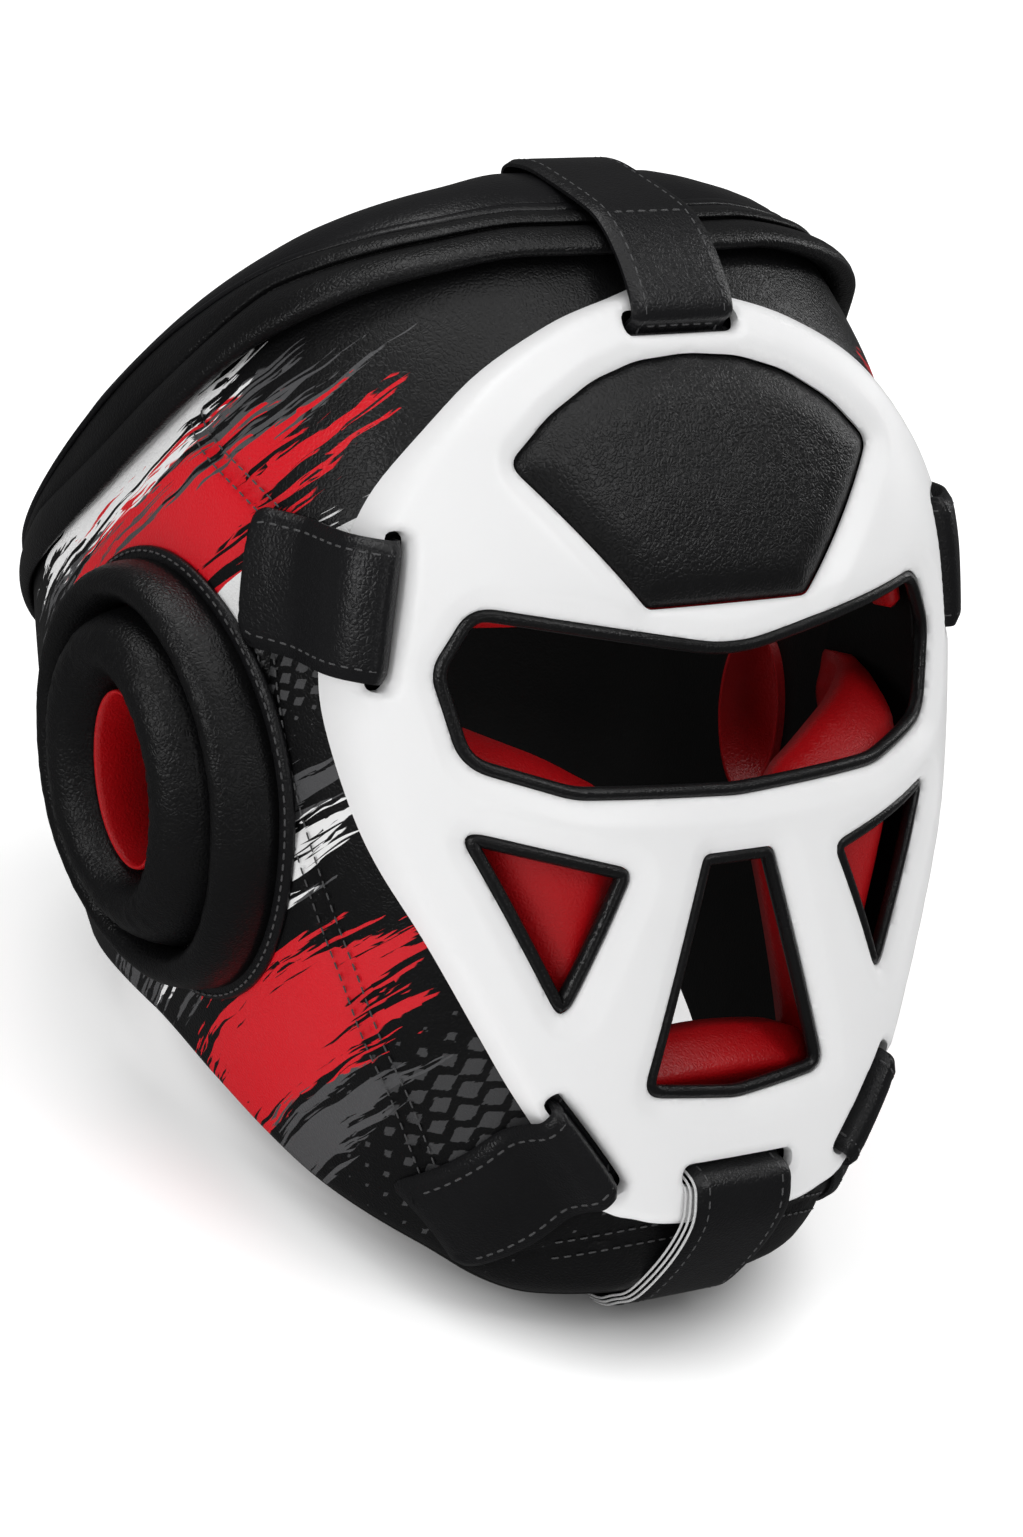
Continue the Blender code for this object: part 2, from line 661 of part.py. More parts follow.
def make_temple_strap(side):
    """From a flap on the shell, over the edge of the grill and in through the temple slot."""
    lift = 1.2 * (GAP + STRAP / 2)
    top = GRILL_OUT + 1.2 * lift
    x, z = TEMPLE_SLOT[:2]
    slot = turn_of(x, z)
    rim = turn_of(x + to_grill_edge(Vector((x, z)), Vector((1, 0))), z)
    arc = (round_point(rim, z, GRILL_OUT) - round_point(slot, z, GRILL_OUT)).length / (rim - slot)
    rim = (rim - slot) * arc
    path = [(rim + 31.3 * MM, lift), (rim + 25.9 * MM, lift), (rim + 20.5 * MM, lift),
            (rim + 16.8 * MM, lift + 1.0 * MM), (rim + 12.1 * MM, lift + 3.6 * MM),
            (rim + 6.5 * MM, GRILL_OUT + 0.7 * MM), (rim + 1.85 * MM, top + 0.3 * MM),
            (6.7 * MM, top + 0.3 * MM), (2.7 * MM, top - 0.6 * MM), (1.54 * MM, GRILL_OUT - 2 * MM),
            (3.4 * MM, GRILL_OUT - 4.2 * MM), (2.5 * MM, lift + 0.6 * MM), (-1.26 * MM, lift), (-10.6 * MM, lift)]

    def place(u, out, width):
        angle = slot + u / arc - TEMPLE_SLOT_TURN * width
        rise = TEMPLE_STRAP_RISE * (u / arc - 0.86)
        spot = round_point(angle, z + width + rise, out)
        return Vector((side * spot.x, spot.y, spot.z))
    return strap(path, SIDE_STRAP_HALF, place)


def make_jaw_strap(side):
    """From a flap low on the jaw, over the edge of the grill and in through the jaw slot."""
    lift = 1.3 * (GAP + STRAP / 2)
    top = GRILL_OUT + lift
    lean = math.radians(-JAW_SLOT[3])
    along = Vector((math.cos(lean), math.sin(lean)))
    away = Vector(JAW_STRAP_WAY).normalized()
    rim = to_grill_edge(Vector(JAW_SLOT[:2]), away)
    path = [(rim + 29.4 * MM, lift), (rim + 22.4 * MM, lift), (rim + 14.4 * MM, lift), (rim + 6.9 * MM, lift),
            (rim + 3.6 * MM, lift + 3 * MM), (rim + 1.6 * MM, top - 1 * MM), (rim - 0.8 * MM, top),
            (2.2 * MM, top - 0.6 * MM), (0.4 * MM, GRILL_OUT - 2.2 * MM), (-1.2 * MM, lift + 1 * MM),
            (-4 * MM, lift), (-10 * MM, lift)]

    def place(u, out, width):
        spot = Vector(JAW_SLOT[:2]) + away * u + along * width
        made = front_point(spot.x, spot.y, out)
        return Vector((side * made.x, made.y, made.z))
    return strap(path, JAW_STRAP_HALF, place)


def make_pads(face):
    """Outlines of the pads that line the face opening, seen from the front."""
    half = GRILL_HALF
    tall = GRILL_TOP
    room = inset(face, GAP)
    low = min(p.y for p in room)
    cheek = [p for p in room if p.x > 0 and low + 2 * MM < p.y < 0.2367 * tall]
    cheek.sort(key=lambda p: -p.y)
    inner_edge = [(0.40, -0.4874), (0.27, -0.0209), (0.34, 0.0627), (0.48, 0.1323), (0.68, 0.2019)]
    cheek += [Vector((x * half, z * tall)) for x, z in inner_edge]
    chin = [Vector((-0.36 * half, low)), Vector((0.36 * half, low)), Vector((0.38 * half, -0.5118 * tall)),
            Vector((0.33 * half, -0.4317 * tall)), Vector((0.0, CHIN_PAD_TOP)),
            Vector((-0.33 * half, -0.4317 * tall)), Vector((-0.38 * half, -0.5118 * tall))]
    top = max(p.y for p in room)
    outer = [p for p in room if p.x >= 0 and p.y > 0.2785 * tall]
    outer.sort(key=lambda p: (-p.y, p.x))
    inner = [Vector((max(p.x - LINING_STRIP, 0), min(p.y, top - LINING_STRIP))) for p in outer]
    strip = [Vector((0, top)), *[p for p in outer if p.x > 1 * MM],
             *[p for p in reversed(inner) if p.x > 1 * MM], Vector((0, top - LINING_STRIP))]
    strip += [Vector((-p.x, p.y)) for p in reversed(strip) if p.x > 0]
    return cheek, chin, strip


def rest(pieces):
    """Lean the guard back until chin and nape touch the floor, press them flat, and centre it.

    Returns the lean in radians and where the middle of the ear line, the origin so far, has gone.
    """
    points = [vert.co.copy() for piece in pieces for vert in piece.data.vertices]
    chin = [p for p in points if p.y < 0]
    nape = [p for p in points if p.y > 0]

    def lowest(group, lean):
        return min(p.z * math.cos(lean) - p.y * math.sin(lean) for p in group)
    low, high = 0.0, math.radians(45)
    for _ in range(40):
        lean = (low + high) / 2
        if lowest(chin, lean) < lowest(nape, lean):
            low = lean
        else:
            high = lean
    turn = Matrix.Rotation(-lean, 4, "X")
    floor = lowest(chin, lean) + REST_FLAT
    for piece in pieces:
        piece.data.transform(turn)
        for vert in piece.data.vertices:
            vert.co.z = max(vert.co.z, floor)
    corners = [vert.co for piece in pieces for vert in piece.data.vertices]
    middle_y = (min(p.y for p in corners) + max(p.y for p in corners)) / 2
    shift = Vector((0, -middle_y, -floor))
    for piece in pieces:
        piece.data.transform(Matrix.Translation(shift))
    return lean, shift


def build():
    for item in list(bpy.data.objects):
        bpy.data.objects.remove(item)
    cuts = openings()
    outline = [Vector((x * GRILL_HALF, z * GRILL_TOP)) for x, z in GRILL_OUTLINE]
    outline += [Vector((-p.x, p.y)) for p in reversed(outline) if p.x > 0]
    pieces = [
        add_piece("outer_shell", make_shell(), BLACK),
        add_piece("crown_band", crown_ring(band_profile), BLACK),
        add_piece("crown_binding", crown_ring(binding_profile), BLACK, 0.4),
        add_piece("face_grill", face_plate(outline, cuts.values(), grill_face(outline),
                                           lambda x, z: GRILL_OUT), WHITE, 0.35),
        add_piece("brow_panel", face_plate(inset(cuts["window"], GAP), [], lambda x, z: 2.5 * GAP,
                                           lambda x, z: PANEL_RISE), BLACK),
    ]
    face = rounded(mirrored(sized(FACE_CORNERS)))
    cheek, chin, strip = make_pads(face)

    def front(x, z):
        return PAD_FRONT

    def back(x, z):
        return PAD_BACK
    pieces.append(add_piece("chin_pad", face_plate(chin, [], back, front, 20 * MM), RED))
    pieces.append(add_piece("brow_lining", face_plate(strip, [], back, front, 20 * MM), RED))
    for name in ("eye", "mouth"):
        pieces.append(add_piece(name + "_trim", trim(cuts[name]), BLACK, 0.3))
    for side, word in ((1, "left"), (-1, "right")):
        own = [Vector((side * p.x, p.y)) for p in cheek]
        pieces.append(add_piece("cheek_pad_" + word, face_plate(own, [], back, front, 18 * MM), RED))
        pieces.append(add_piece("cheek_trim_" + word, trim(cuts["cheek_" + word]), BLACK, 0.3))
        hole = EAR_HOLE
        ring = [length + DONUT_WIDTH + GAP for length in hole]
        flange = [length + DONUT_WIDTH + 3 * MM for length in hole]
        reach = RING_WIDTH + FLANGE_REACH - 3 * MM
        lining = [length - GAP - LINING_WALL for length in hole]
        pieces += [
            add_piece("ear_flange_" + word, ear_ring(flange, reach, 1.5 * GAP, FLANGE_RISE, side, False), BLACK),
            add_piece("ear_ring_" + word, ear_ring(ring, RING_WIDTH, FLANGE_RISE + GAP, RING_RISE, side), BLACK),
            add_piece("ear_donut_" + word, ear_ring(hole, DONUT_WIDTH, 2 * GAP, DONUT_RISE, side), BLACK),
            add_piece("ear_lining_" + word, ear_ring(lining, LINING_WALL, -WALL_FRONT, 0.7 * DONUT_RISE,
                                                     side, False), RED),
            add_piece("temple_strap_" + word, make_temple_strap(side), BLACK, 0.4),
            add_piece("jaw_strap_" + word, make_jaw_strap(side), BLACK, 0.4),
        ]
    pieces.append(add_piece("top_strap", make_top_strap(), BLACK, 0.4))
    pieces.append(add_piece("chin_strap", make_chin_strap(), BLACK, 0.4))
    return rest(pieces)


build()
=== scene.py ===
"""Looks of the boxing head guard: padded leather shell with a stroke print, white face grill,
red padding, ear pads and stitched leather straps.

Shapes are worked out in the guard's own frame: origin at the middle of the ear line, +X to the
wearer's left, the face to -Y, +Z up through the head.  GUARD turns that frame into the row frame.
"""
import json
import math

import bmesh
import bpy
import numpy as np
from mathutils import Matrix, Vector, noise
from mathutils.geometry import delaunay_2d_cdt


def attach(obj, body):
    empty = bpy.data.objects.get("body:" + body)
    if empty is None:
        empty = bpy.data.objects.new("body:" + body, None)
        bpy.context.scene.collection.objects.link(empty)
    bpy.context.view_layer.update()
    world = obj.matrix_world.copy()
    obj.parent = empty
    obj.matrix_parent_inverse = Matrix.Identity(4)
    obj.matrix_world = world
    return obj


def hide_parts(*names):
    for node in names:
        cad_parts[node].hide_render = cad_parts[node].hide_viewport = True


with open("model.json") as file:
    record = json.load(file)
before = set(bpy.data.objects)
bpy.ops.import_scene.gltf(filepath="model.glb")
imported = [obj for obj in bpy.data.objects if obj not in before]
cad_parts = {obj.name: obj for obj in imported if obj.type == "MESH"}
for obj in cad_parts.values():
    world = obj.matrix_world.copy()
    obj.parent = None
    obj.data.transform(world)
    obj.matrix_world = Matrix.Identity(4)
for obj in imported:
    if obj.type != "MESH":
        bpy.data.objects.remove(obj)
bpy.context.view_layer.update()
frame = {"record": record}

MM = 0.001
head = next(m for m in frame["record"]["mounts"] if m["name"] == "head")
LEAN = math.atan2(head["axis"][1], head["axis"][2])
GUARD = Matrix.Translation(head["pos_m"]) @ Matrix.Rotation(-LEAN, 4, "X")

# Camera: where the photograph was taken from, in the guard frame
VIEW_TURN = math.radians(33.5)      # towards the wearer's right
VIEW_RISE = math.radians(10.0)
VIEW_DISTANCE = 1.2
LENS = 102.3
SENSOR = 36
SHIFT = (0.0267, -0.0062)

# The form, as in the CAD source: the outside of the leather without the grill
FORM_WIDTH = 214 * MM
FORM_DEPTH = 240 * MM
FORM_HEIGHT = 280 * MM
PLAN_CENTRE = 5 * MM
FRONT_POWER = 2.8
BACK_POWER = 2.45
WALL_FRONT = 20 * MM
WALL_BACK = 13 * MM
EDGE_CAP = 6 * MM
GAP = 0.3 * MM
FORM = [
    # height, half_width, front, back: shares of height, half the width, depth and depth
    (-0.457, 0.486, 0.392, 0.275),
    (-0.421, 0.617, 0.446, 0.342),
    (-0.339, 0.748, 0.483, 0.400),
    (-0.214, 0.850, 0.496, 0.450),
    (0.000, 0.972, 0.492, 0.517),
    (0.214, 1.000, 0.471, 0.529),
    (0.357, 0.944, 0.425, 0.488),
    (0.464, 0.832, 0.362, 0.425),
    (0.536, 0.692, 0.296, 0.350),
    (0.582, 0.542, 0.229, 0.275),
    (0.614, 0.374, 0.158, 0.192),
]
EDGES = [
    # angle from the face, neck edge, lower edge of the band, crown edge: shares of FORM_HEIGHT
    (0, -0.454, 0.511, 0.571),
    (22, -0.454, 0.511, 0.571),
    (40, -0.405, 0.493, 0.558),
    (60, -0.355, 0.443, 0.530),
    (82, -0.285, 0.342, 0.465),
    (100, -0.232, 0.262, 0.380),
    (125, -0.202, 0.172, 0.245),
    (150, -0.200, 0.088, 0.150),
    (180, -0.200, 0.058, 0.112),
]
NECK_EDGE, BAND_EDGE, CROWN_EDGE = 1, 2, 3
BAND_RISE = 5 * MM
ROLL_RISE = 9 * MM
ROLL_WIDTH = 12 * MM
BINDING_RISE = 2 * MM
BAND_BACK = 0.4                     # share of the band's rise that is left from the ears back
BAND_FALL = (55, 50)                # degrees: where the band starts to flatten, and over how many
STATIONS = 288                      # sections round the head
DEGREE_ARC = 1.95 * MM              # length of a degree round the form at the seams

GRILL_HALF = 94 * MM
GRILL_TOP = 135 * MM
GRILL_OUT = 8 * MM
GRILL_WALL = 4.5 * MM
GRILL_OUTLINE = [
    # x as a share of GRILL_HALF, z as a share of GRILL_TOP
    (0.00, 1.000), (0.17, 0.975), (0.38, 0.930), (0.62, 0.838), (0.83, 0.690), (0.93, 0.572),
    (0.99, 0.430), (1.00, 0.311), (0.99, 0.207), (0.95, 0.060), (0.90, -0.052), (0.81, -0.185),
    (0.69, -0.363), (0.59, -0.500), (0.42, -0.685), (0.31, -0.724), (0.20, -0.742), (0.00, -0.748),
]
# Corners of the openings: x, z and rounding as shares of GRILL_HALF, right half
EYE_CORNERS = [
    (0.00, 0.495, 0.60), (0.74, 0.640, 0.09), (0.835, 0.470, 0.13), (0.775, 0.215, 0.13),
    (0.50, 0.120, 0.30), (0.00, 0.092, 0.60),
]
MOUTH_CORNERS = [(0.116, -0.055, 0.030), (0.310, -0.700, 0.055), (0.000, -0.738, 0.300)]
WINDOW_CORNERS = [
    (0.00, 1.258, 0.50), (0.17, 1.245, 0.40), (0.32, 1.200, 0.40), (0.47, 1.115, 0.40),
    (0.600, 0.995, 0.045), (0.265, 0.605, 0.045),
]
CHEEK_CORNERS = [(0.790, 0.058, 0.035), (0.330, -0.075, 0.040), (0.530, -0.485, 0.035)]
FACE_CORNERS = [
    (0.00, 0.648, 0.30), (0.80, 0.648, 0.10), (0.87, 0.210, 0.15), (0.81, -0.050, 0.15),
    (0.60, -0.560, 0.12), (0.38, -0.770, 0.08), (0.00, -0.770, 0.30),
]
# The red cushions: inner edge of the cheek's, and upper edge of the chin's, as shares of GRILL_HALF
CHEEK_INNER = [(0.37, -0.70), (0.21, -0.05), (0.29, 0.10), (0.46, 0.20), (0.68, 0.30)]
CHIN_UPPER = [(0.38, -0.735), (0.33, -0.62), (0.0, -0.575), (-0.33, -0.62), (-0.38, -0.735)]
CHIN_HALF = 0.36
CHEEK_TOP = 0.34
BROW_LOW = 0.50
BROW_STRIP = 7 * MM
# Slots: centre, half length, half width and lean of the long side
TOP_SLOT = (0.0, 126 * MM, 18 * MM, 3.2 * MM, 0.0)
CHIN_SLOT = (0.0, -87.5 * MM, 17.5 * MM, 3.2 * MM, 0.0)
TEMPLE_SLOT = (86.2 * MM, 58.5 * MM, 20 * MM, 2.5 * MM, 81.0)
JAW_SLOT = (43.6 * MM, -76.3 * MM, 16.5 * MM, 2.9 * MM, -54.5)
JAW_STRAP_WAY = (0.606, -0.795)

EAR_Y = -15 * MM
EAR_Z = 8 * MM
EAR_HOLE = (15 * MM, 24 * MM)
DONUT_WIDTH = 21 * MM
DONUT_RISE = 20 * MM
RING_WIDTH = 11.5 * MM
RING_RISE = 15 * MM
FLANGE_REACH = 3.5 * MM
FLANGE_SEAT = 3 * MM                # how far the flange starts outside the donut
LINING_WALL = 1.3 * MM
EDGING_RADIUS = 1.8 * MM
EDGING_OUT = 2.9 * MM
PAD_BACK = -19 * MM                 # back of the red cushions, from the form
BROW_BACK = -9 * MM
STRAP = 2.0 * MM
TOP_STRAP_HALF = 15.5 * MM
CHIN_STRAP_HALF = 15 * MM
TEMPLE_STRAP_HALF = 17.5 * MM
JAW_STRAP_HALF = 14.5 * MM


# Camera, and the form's surface
def place_camera():
    way = Vector((-math.sin(VIEW_TURN) * math.cos(VIEW_RISE),
                  -math.cos(VIEW_TURN) * math.cos(VIEW_RISE), math.sin(VIEW_RISE)))
    turn = way.to_track_quat("Z", "Y").to_matrix().to_4x4()
    data = bpy.data.cameras.new("camera")
    data.lens = LENS
    data.sensor_width = SENSOR
    data.shift_x, data.shift_y = SHIFT
    camera = bpy.data.objects.new("camera", data)
    camera.matrix_world = GUARD @ Matrix.Translation(way * VIEW_DISTANCE) @ turn
    bpy.context.scene.collection.objects.link(camera)
    scene = bpy.context.scene
    scene.camera = camera
    scene.view_settings.view_transform = "Standard"
    scene.view_settings.look = "None"


place_camera()


def smooth(table, column, at):
    """Value of a column of a table at a place in its first column, on a curve without overshoot."""
    xs = [row[0] for row in table]
    ys = [row[column] for row in table]
    at = min(max(at, xs[0]), xs[-1])
    rises = [(y1 - y0) / (x1 - x0) for x0, x1, y0, y1 in zip(xs, xs[1:], ys, ys[1:])]
    inner = [0.0 if a * b <= 0 else 2 * a * b / (a + b) for a, b in zip(rises, rises[1:])]
    slopes = [rises[0], *inner, rises[-1]]
    i = max(k for k in range(len(xs) - 1) if xs[k] <= at)
    step = xs[i + 1] - xs[i]
    t = (at - xs[i]) / step
    return (ys[i] * (1 + 2 * t) * (1 - t) ** 2 + slopes[i] * step * t * (1 - t) ** 2
            + ys[i + 1] * t * t * (3 - 2 * t) + slopes[i + 1] * step * t * t * (t - 1))


HEIGHTS = np.linspace(-0.14, 0.175, 900)
SHARES = HEIGHTS / FORM_HEIGHT
HALVES = np.array([smooth(FORM, 1, s) for s in SHARES]) * FORM_WIDTH / 2
FRONTS = -np.array([smooth(FORM, 2, s) for s in SHARES]) * FORM_DEPTH
BACKS = np.array([smooth(FORM, 3, s) for s in SHARES]) * FORM_DEPTH
TURNS = np.linspace(0, 180, 361)
EDGE_HEIGHTS = {c: np.array([smooth(EDGES, c, a) for a in TURNS]) * FORM_HEIGHT
                for c in (NECK_EDGE, BAND_EDGE, CROWN_EDGE)}


def plan(z, out):
    half = np.interp(z, HEIGHTS, HALVES) + out
    front = np.interp(z, HEIGHTS, FRONTS) - out
    back = np.interp(z, HEIGHTS, BACKS) + out
    return half, front, back


def round_points(angle, z, out):
    """Points of the form at angles, in degrees, from the middle of the face towards +X."""
    angle, z, out = np.broadcast_arrays(np.asarray(angle, float), z, out)
    half, front, back = plan(z, out)
    across = np.sin(np.radians(angle))
    along = -np.cos(np.radians(angle))
    behind = along > 0
    power = np.where(behind, BACK_POWER, FRONT_POWER)
    reach = np.where(behind, back - PLAN_CENTRE, PLAN_CENTRE - front)
    radius = (np.abs(across / half) ** power + np.abs(along / reach) ** power) ** (-1 / power)
    return np.stack([radius * across, PLAN_CENTRE + radius * along, z], axis=-1)


def front_points(x, z, out):
    """Points on the front of the form, seen from the front."""
    x, z, out = np.broadcast_arrays(np.asarray(x, float), z, out)
    half, front, _ = plan(z, out)
    share = np.minimum(np.abs(x) / half, 1.0)
    y = PLAN_CENTRE - (PLAN_CENTRE - front) * (1 - share ** FRONT_POWER) ** (1 / FRONT_POWER)
    return np.stack([x, y, z], axis=-1)


def side_points(y, z, out, side):
    """Points on a side of the form, seen from the side."""
    y, z, out = np.broadcast_arrays(np.asarray(y, float), z, out)
    half, front, back = plan(z, out)
    behind = y > PLAN_CENTRE
    power = np.where(behind, BACK_POWER, FRONT_POWER)
    reach = np.where(behind, back - PLAN_CENTRE, PLAN_CENTRE - front)
    share = np.minimum(np.abs(y - PLAN_CENTRE) / reach, 1.0)
    return np.stack([side * half * (1 - share ** power) ** (1 / power), y, z], axis=-1)


def edge(column, angle):
    turn = np.abs((np.asarray(angle, float) + 180) % 360 - 180)
    return np.interp(turn, TURNS, EDGE_HEIGHTS[column])


def wall_half(angle):
    backness = (1 - np.cos(np.radians(angle))) / 2
    return (WALL_FRONT + (WALL_BACK - WALL_FRONT) * backness) / 2


def cap_point(angle, turn, rise=0.0, crown=True):
    """Place (z, out) on the rounded edge of the wall, or risen from it; turn 0 is the outside."""
    half = wall_half(angle)
    bend = math.radians(turn)
    lift = (EDGE_CAP + rise) * math.sin(bend)
    out = -half + (half + rise) * math.cos(bend)
    if crown:
        return edge(CROWN_EDGE, angle) - EDGE_CAP + lift, out
    return edge(NECK_EDGE, angle) + EDGE_CAP - lift, out


# Materials
class Nodes:
    """Short way to write a node tree."""

    def __init__(self, name):
        self.material = bpy.data.materials.new(name)
        self.material.use_nodes = True
        self.tree = self.material.node_tree
        self.shader = self.tree.nodes["Principled BSDF"]

    def add(self, kind, **inputs):
        node = self.tree.nodes.new("ShaderNode" + kind)
        for name, value in inputs.items():
            self.put(node, name.replace("_", " "), value)
        return node

    def put(self, node, name, value):
        socket = node.inputs[int(name)] if name.isdigit() else node.inputs[name]
        if isinstance(value, bpy.types.NodeSocket):
            self.tree.links.new(value, socket)
        else:
            socket.default_value = value

    def math(self, operation, a, b=0.0, c=0.0):
        node = self.tree.nodes.new("ShaderNodeMath")
        node.operation = operation
        for i, value in enumerate((a, b, c)):
            self.put(node, str(i), value)
        return node.outputs[0]

    def ramp(self, value, low, high):
        """0 at low, 1 at high, smooth between."""
        node = self.tree.nodes.new("ShaderNodeMapRange")
        node.interpolation_type = "SMOOTHSTEP"
        for name, item in (("Value", value), ("From Min", low), ("From Max", high)):
            self.put(node, name, item)
        return node.outputs[0]

    def mix(self, share, first, second):
        node = self.tree.nodes.new("ShaderNodeMix")
        node.data_type = "RGBA"
        for socket, value in ((node.inputs[0], share), (node.inputs[6], first), (node.inputs[7], second)):
            if isinstance(value, bpy.types.NodeSocket):
                self.tree.links.new(value, socket)
            else:
                socket.default_value = value
        return node.outputs[2]

    def noise(self, scale, detail=3.0, vector=None, rough=0.5):
        node = self.add("TexNoise", Scale=scale, Detail=detail, Roughness=rough)
        self.tree.links.new(vector or self.coordinates(), node.inputs["Vector"])
        return node.outputs["Fac"]

    def coordinates(self):
        return self.add("TexCoord").outputs["Object"]

    def combine(self, x, y, z=0.0):
        return self.add("CombineXYZ", X=x, Y=y, Z=z).outputs[0]

    def bump(self, height, strength, distance, under=None):
        node = self.add("Bump", Height=height, Strength=strength, Distance=distance)
        if under is not None:
            self.tree.links.new(under, node.inputs["Normal"])
        return node.outputs[0]


def leather_grain(nodes, depth=1.0):
    """Bump of fine pores and creases over a slow swell."""
    pores = nodes.add("TexVoronoi", Scale=800.0)
    pores.feature = "DISTANCE_TO_EDGE"
    warp = nodes.add("VectorMath")
    warp.operation = "MULTIPLY_ADD"
    swirl = nodes.add("TexNoise", Scale=220.0, Detail=2.0)
    nodes.tree.links.new(nodes.coordinates(), swirl.inputs["Vector"])
    nodes.tree.links.new(swirl.outputs["Color"], warp.inputs[0])
    warp.inputs[1].default_value = (0.0022, 0.0022, 0.0022)
    nodes.tree.links.new(nodes.coordinates(), warp.inputs[2])
    nodes.tree.links.new(warp.outputs[0], pores.inputs["Vector"])
    fine = nodes.bump(nodes.ramp(pores.outputs["Distance"], 0.0, 0.30), 0.30 * depth, 0.0003)
    crease = nodes.noise(380.0, 5.0, rough=0.65)
    creased = nodes.bump(crease, 0.26 * depth, 0.0005, fine)
    return nodes.bump(nodes.noise(70.0, 2.0), 0.30 * depth, 0.0014, creased)


def finish_leather(nodes, colour, rough=0.36, depth=1.0):
    worn = nodes.noise(35.0, 4.0)
    roughness = nodes.math("MULTIPLY_ADD", worn, 0.22, rough - 0.11)
    nodes.put(nodes.shader, "Base Color", colour)
    nodes.put(nodes.shader, "Roughness", roughness)
    nodes.put(nodes.shader, "Specular IOR Level", 0.29)
    nodes.put(nodes.shader, "Normal", leather_grain(nodes, depth))
    return nodes.material


def leather(name, dark, light, rough=0.36, depth=1.0):
    nodes = Nodes(name)
    shade = nodes.mix(nodes.noise(28.0, 3.0), (*dark, 1), (*light, 1))
    return finish_leather(nodes, shade, rough, depth)


BLACK_DARK, BLACK_LIGHT = (0.0030, 0.0030, 0.0033), (0.0075, 0.0075, 0.008)
RED = (0.46, 0.003, 0.006)
RED_DEEP = (0.30, 0.002, 0.004)

# The print: slope of the splinters, and the radius that turns an angle into a length
PRINT_SLOPE = math.radians(34)
PRINT_RADIUS = 0.115
PRINT_RED, PRINT_WHITE, PRINT_GREY = (0.62, 0.004, 0.012), (0.80, 0.80, 0.80), (0.075, 0.075, 0.078)
BURSTS = [
    # middle b, half width, low a, high a, fullness, bend, colour
    (0.150, 0.026, -0.240, -0.010, 1.05, 0.05, PRINT_GREY),
    (0.176, 0.012, -0.170, -0.030, 1.10, 0.03, PRINT_WHITE),
    (0.140, 0.019, -0.225, -0.020, 1.22, 0.04, PRINT_RED),
    (0.118, 0.006, -0.120, 0.005, 1.00, 0.02, PRINT_WHITE),
    (0.064, 0.022, -0.230, -0.050, 1.00, -0.03, PRINT_GREY),
    (0.022, 0.016, -0.205, -0.070, 1.18, 0.00, PRINT_RED),
    (0.058, 0.008, -0.185, -0.060, 1.15, 0.00, PRINT_WHITE),
    (-0.004, 0.010, -0.190, -0.090, 1.00, 0.02, PRINT_GREY),
]
LOZENGES = [
    # cell, middle b, reach in b, low a, high a, most, colour
    (0.0085, -0.030, 0.040, -0.150, -0.085, 0.50, (0.050, 0.050, 0.052)),
    (0.0060, 0.100, 0.022, -0.130, -0.060, 0.44, (0.060, 0.060, 0.062)),
]


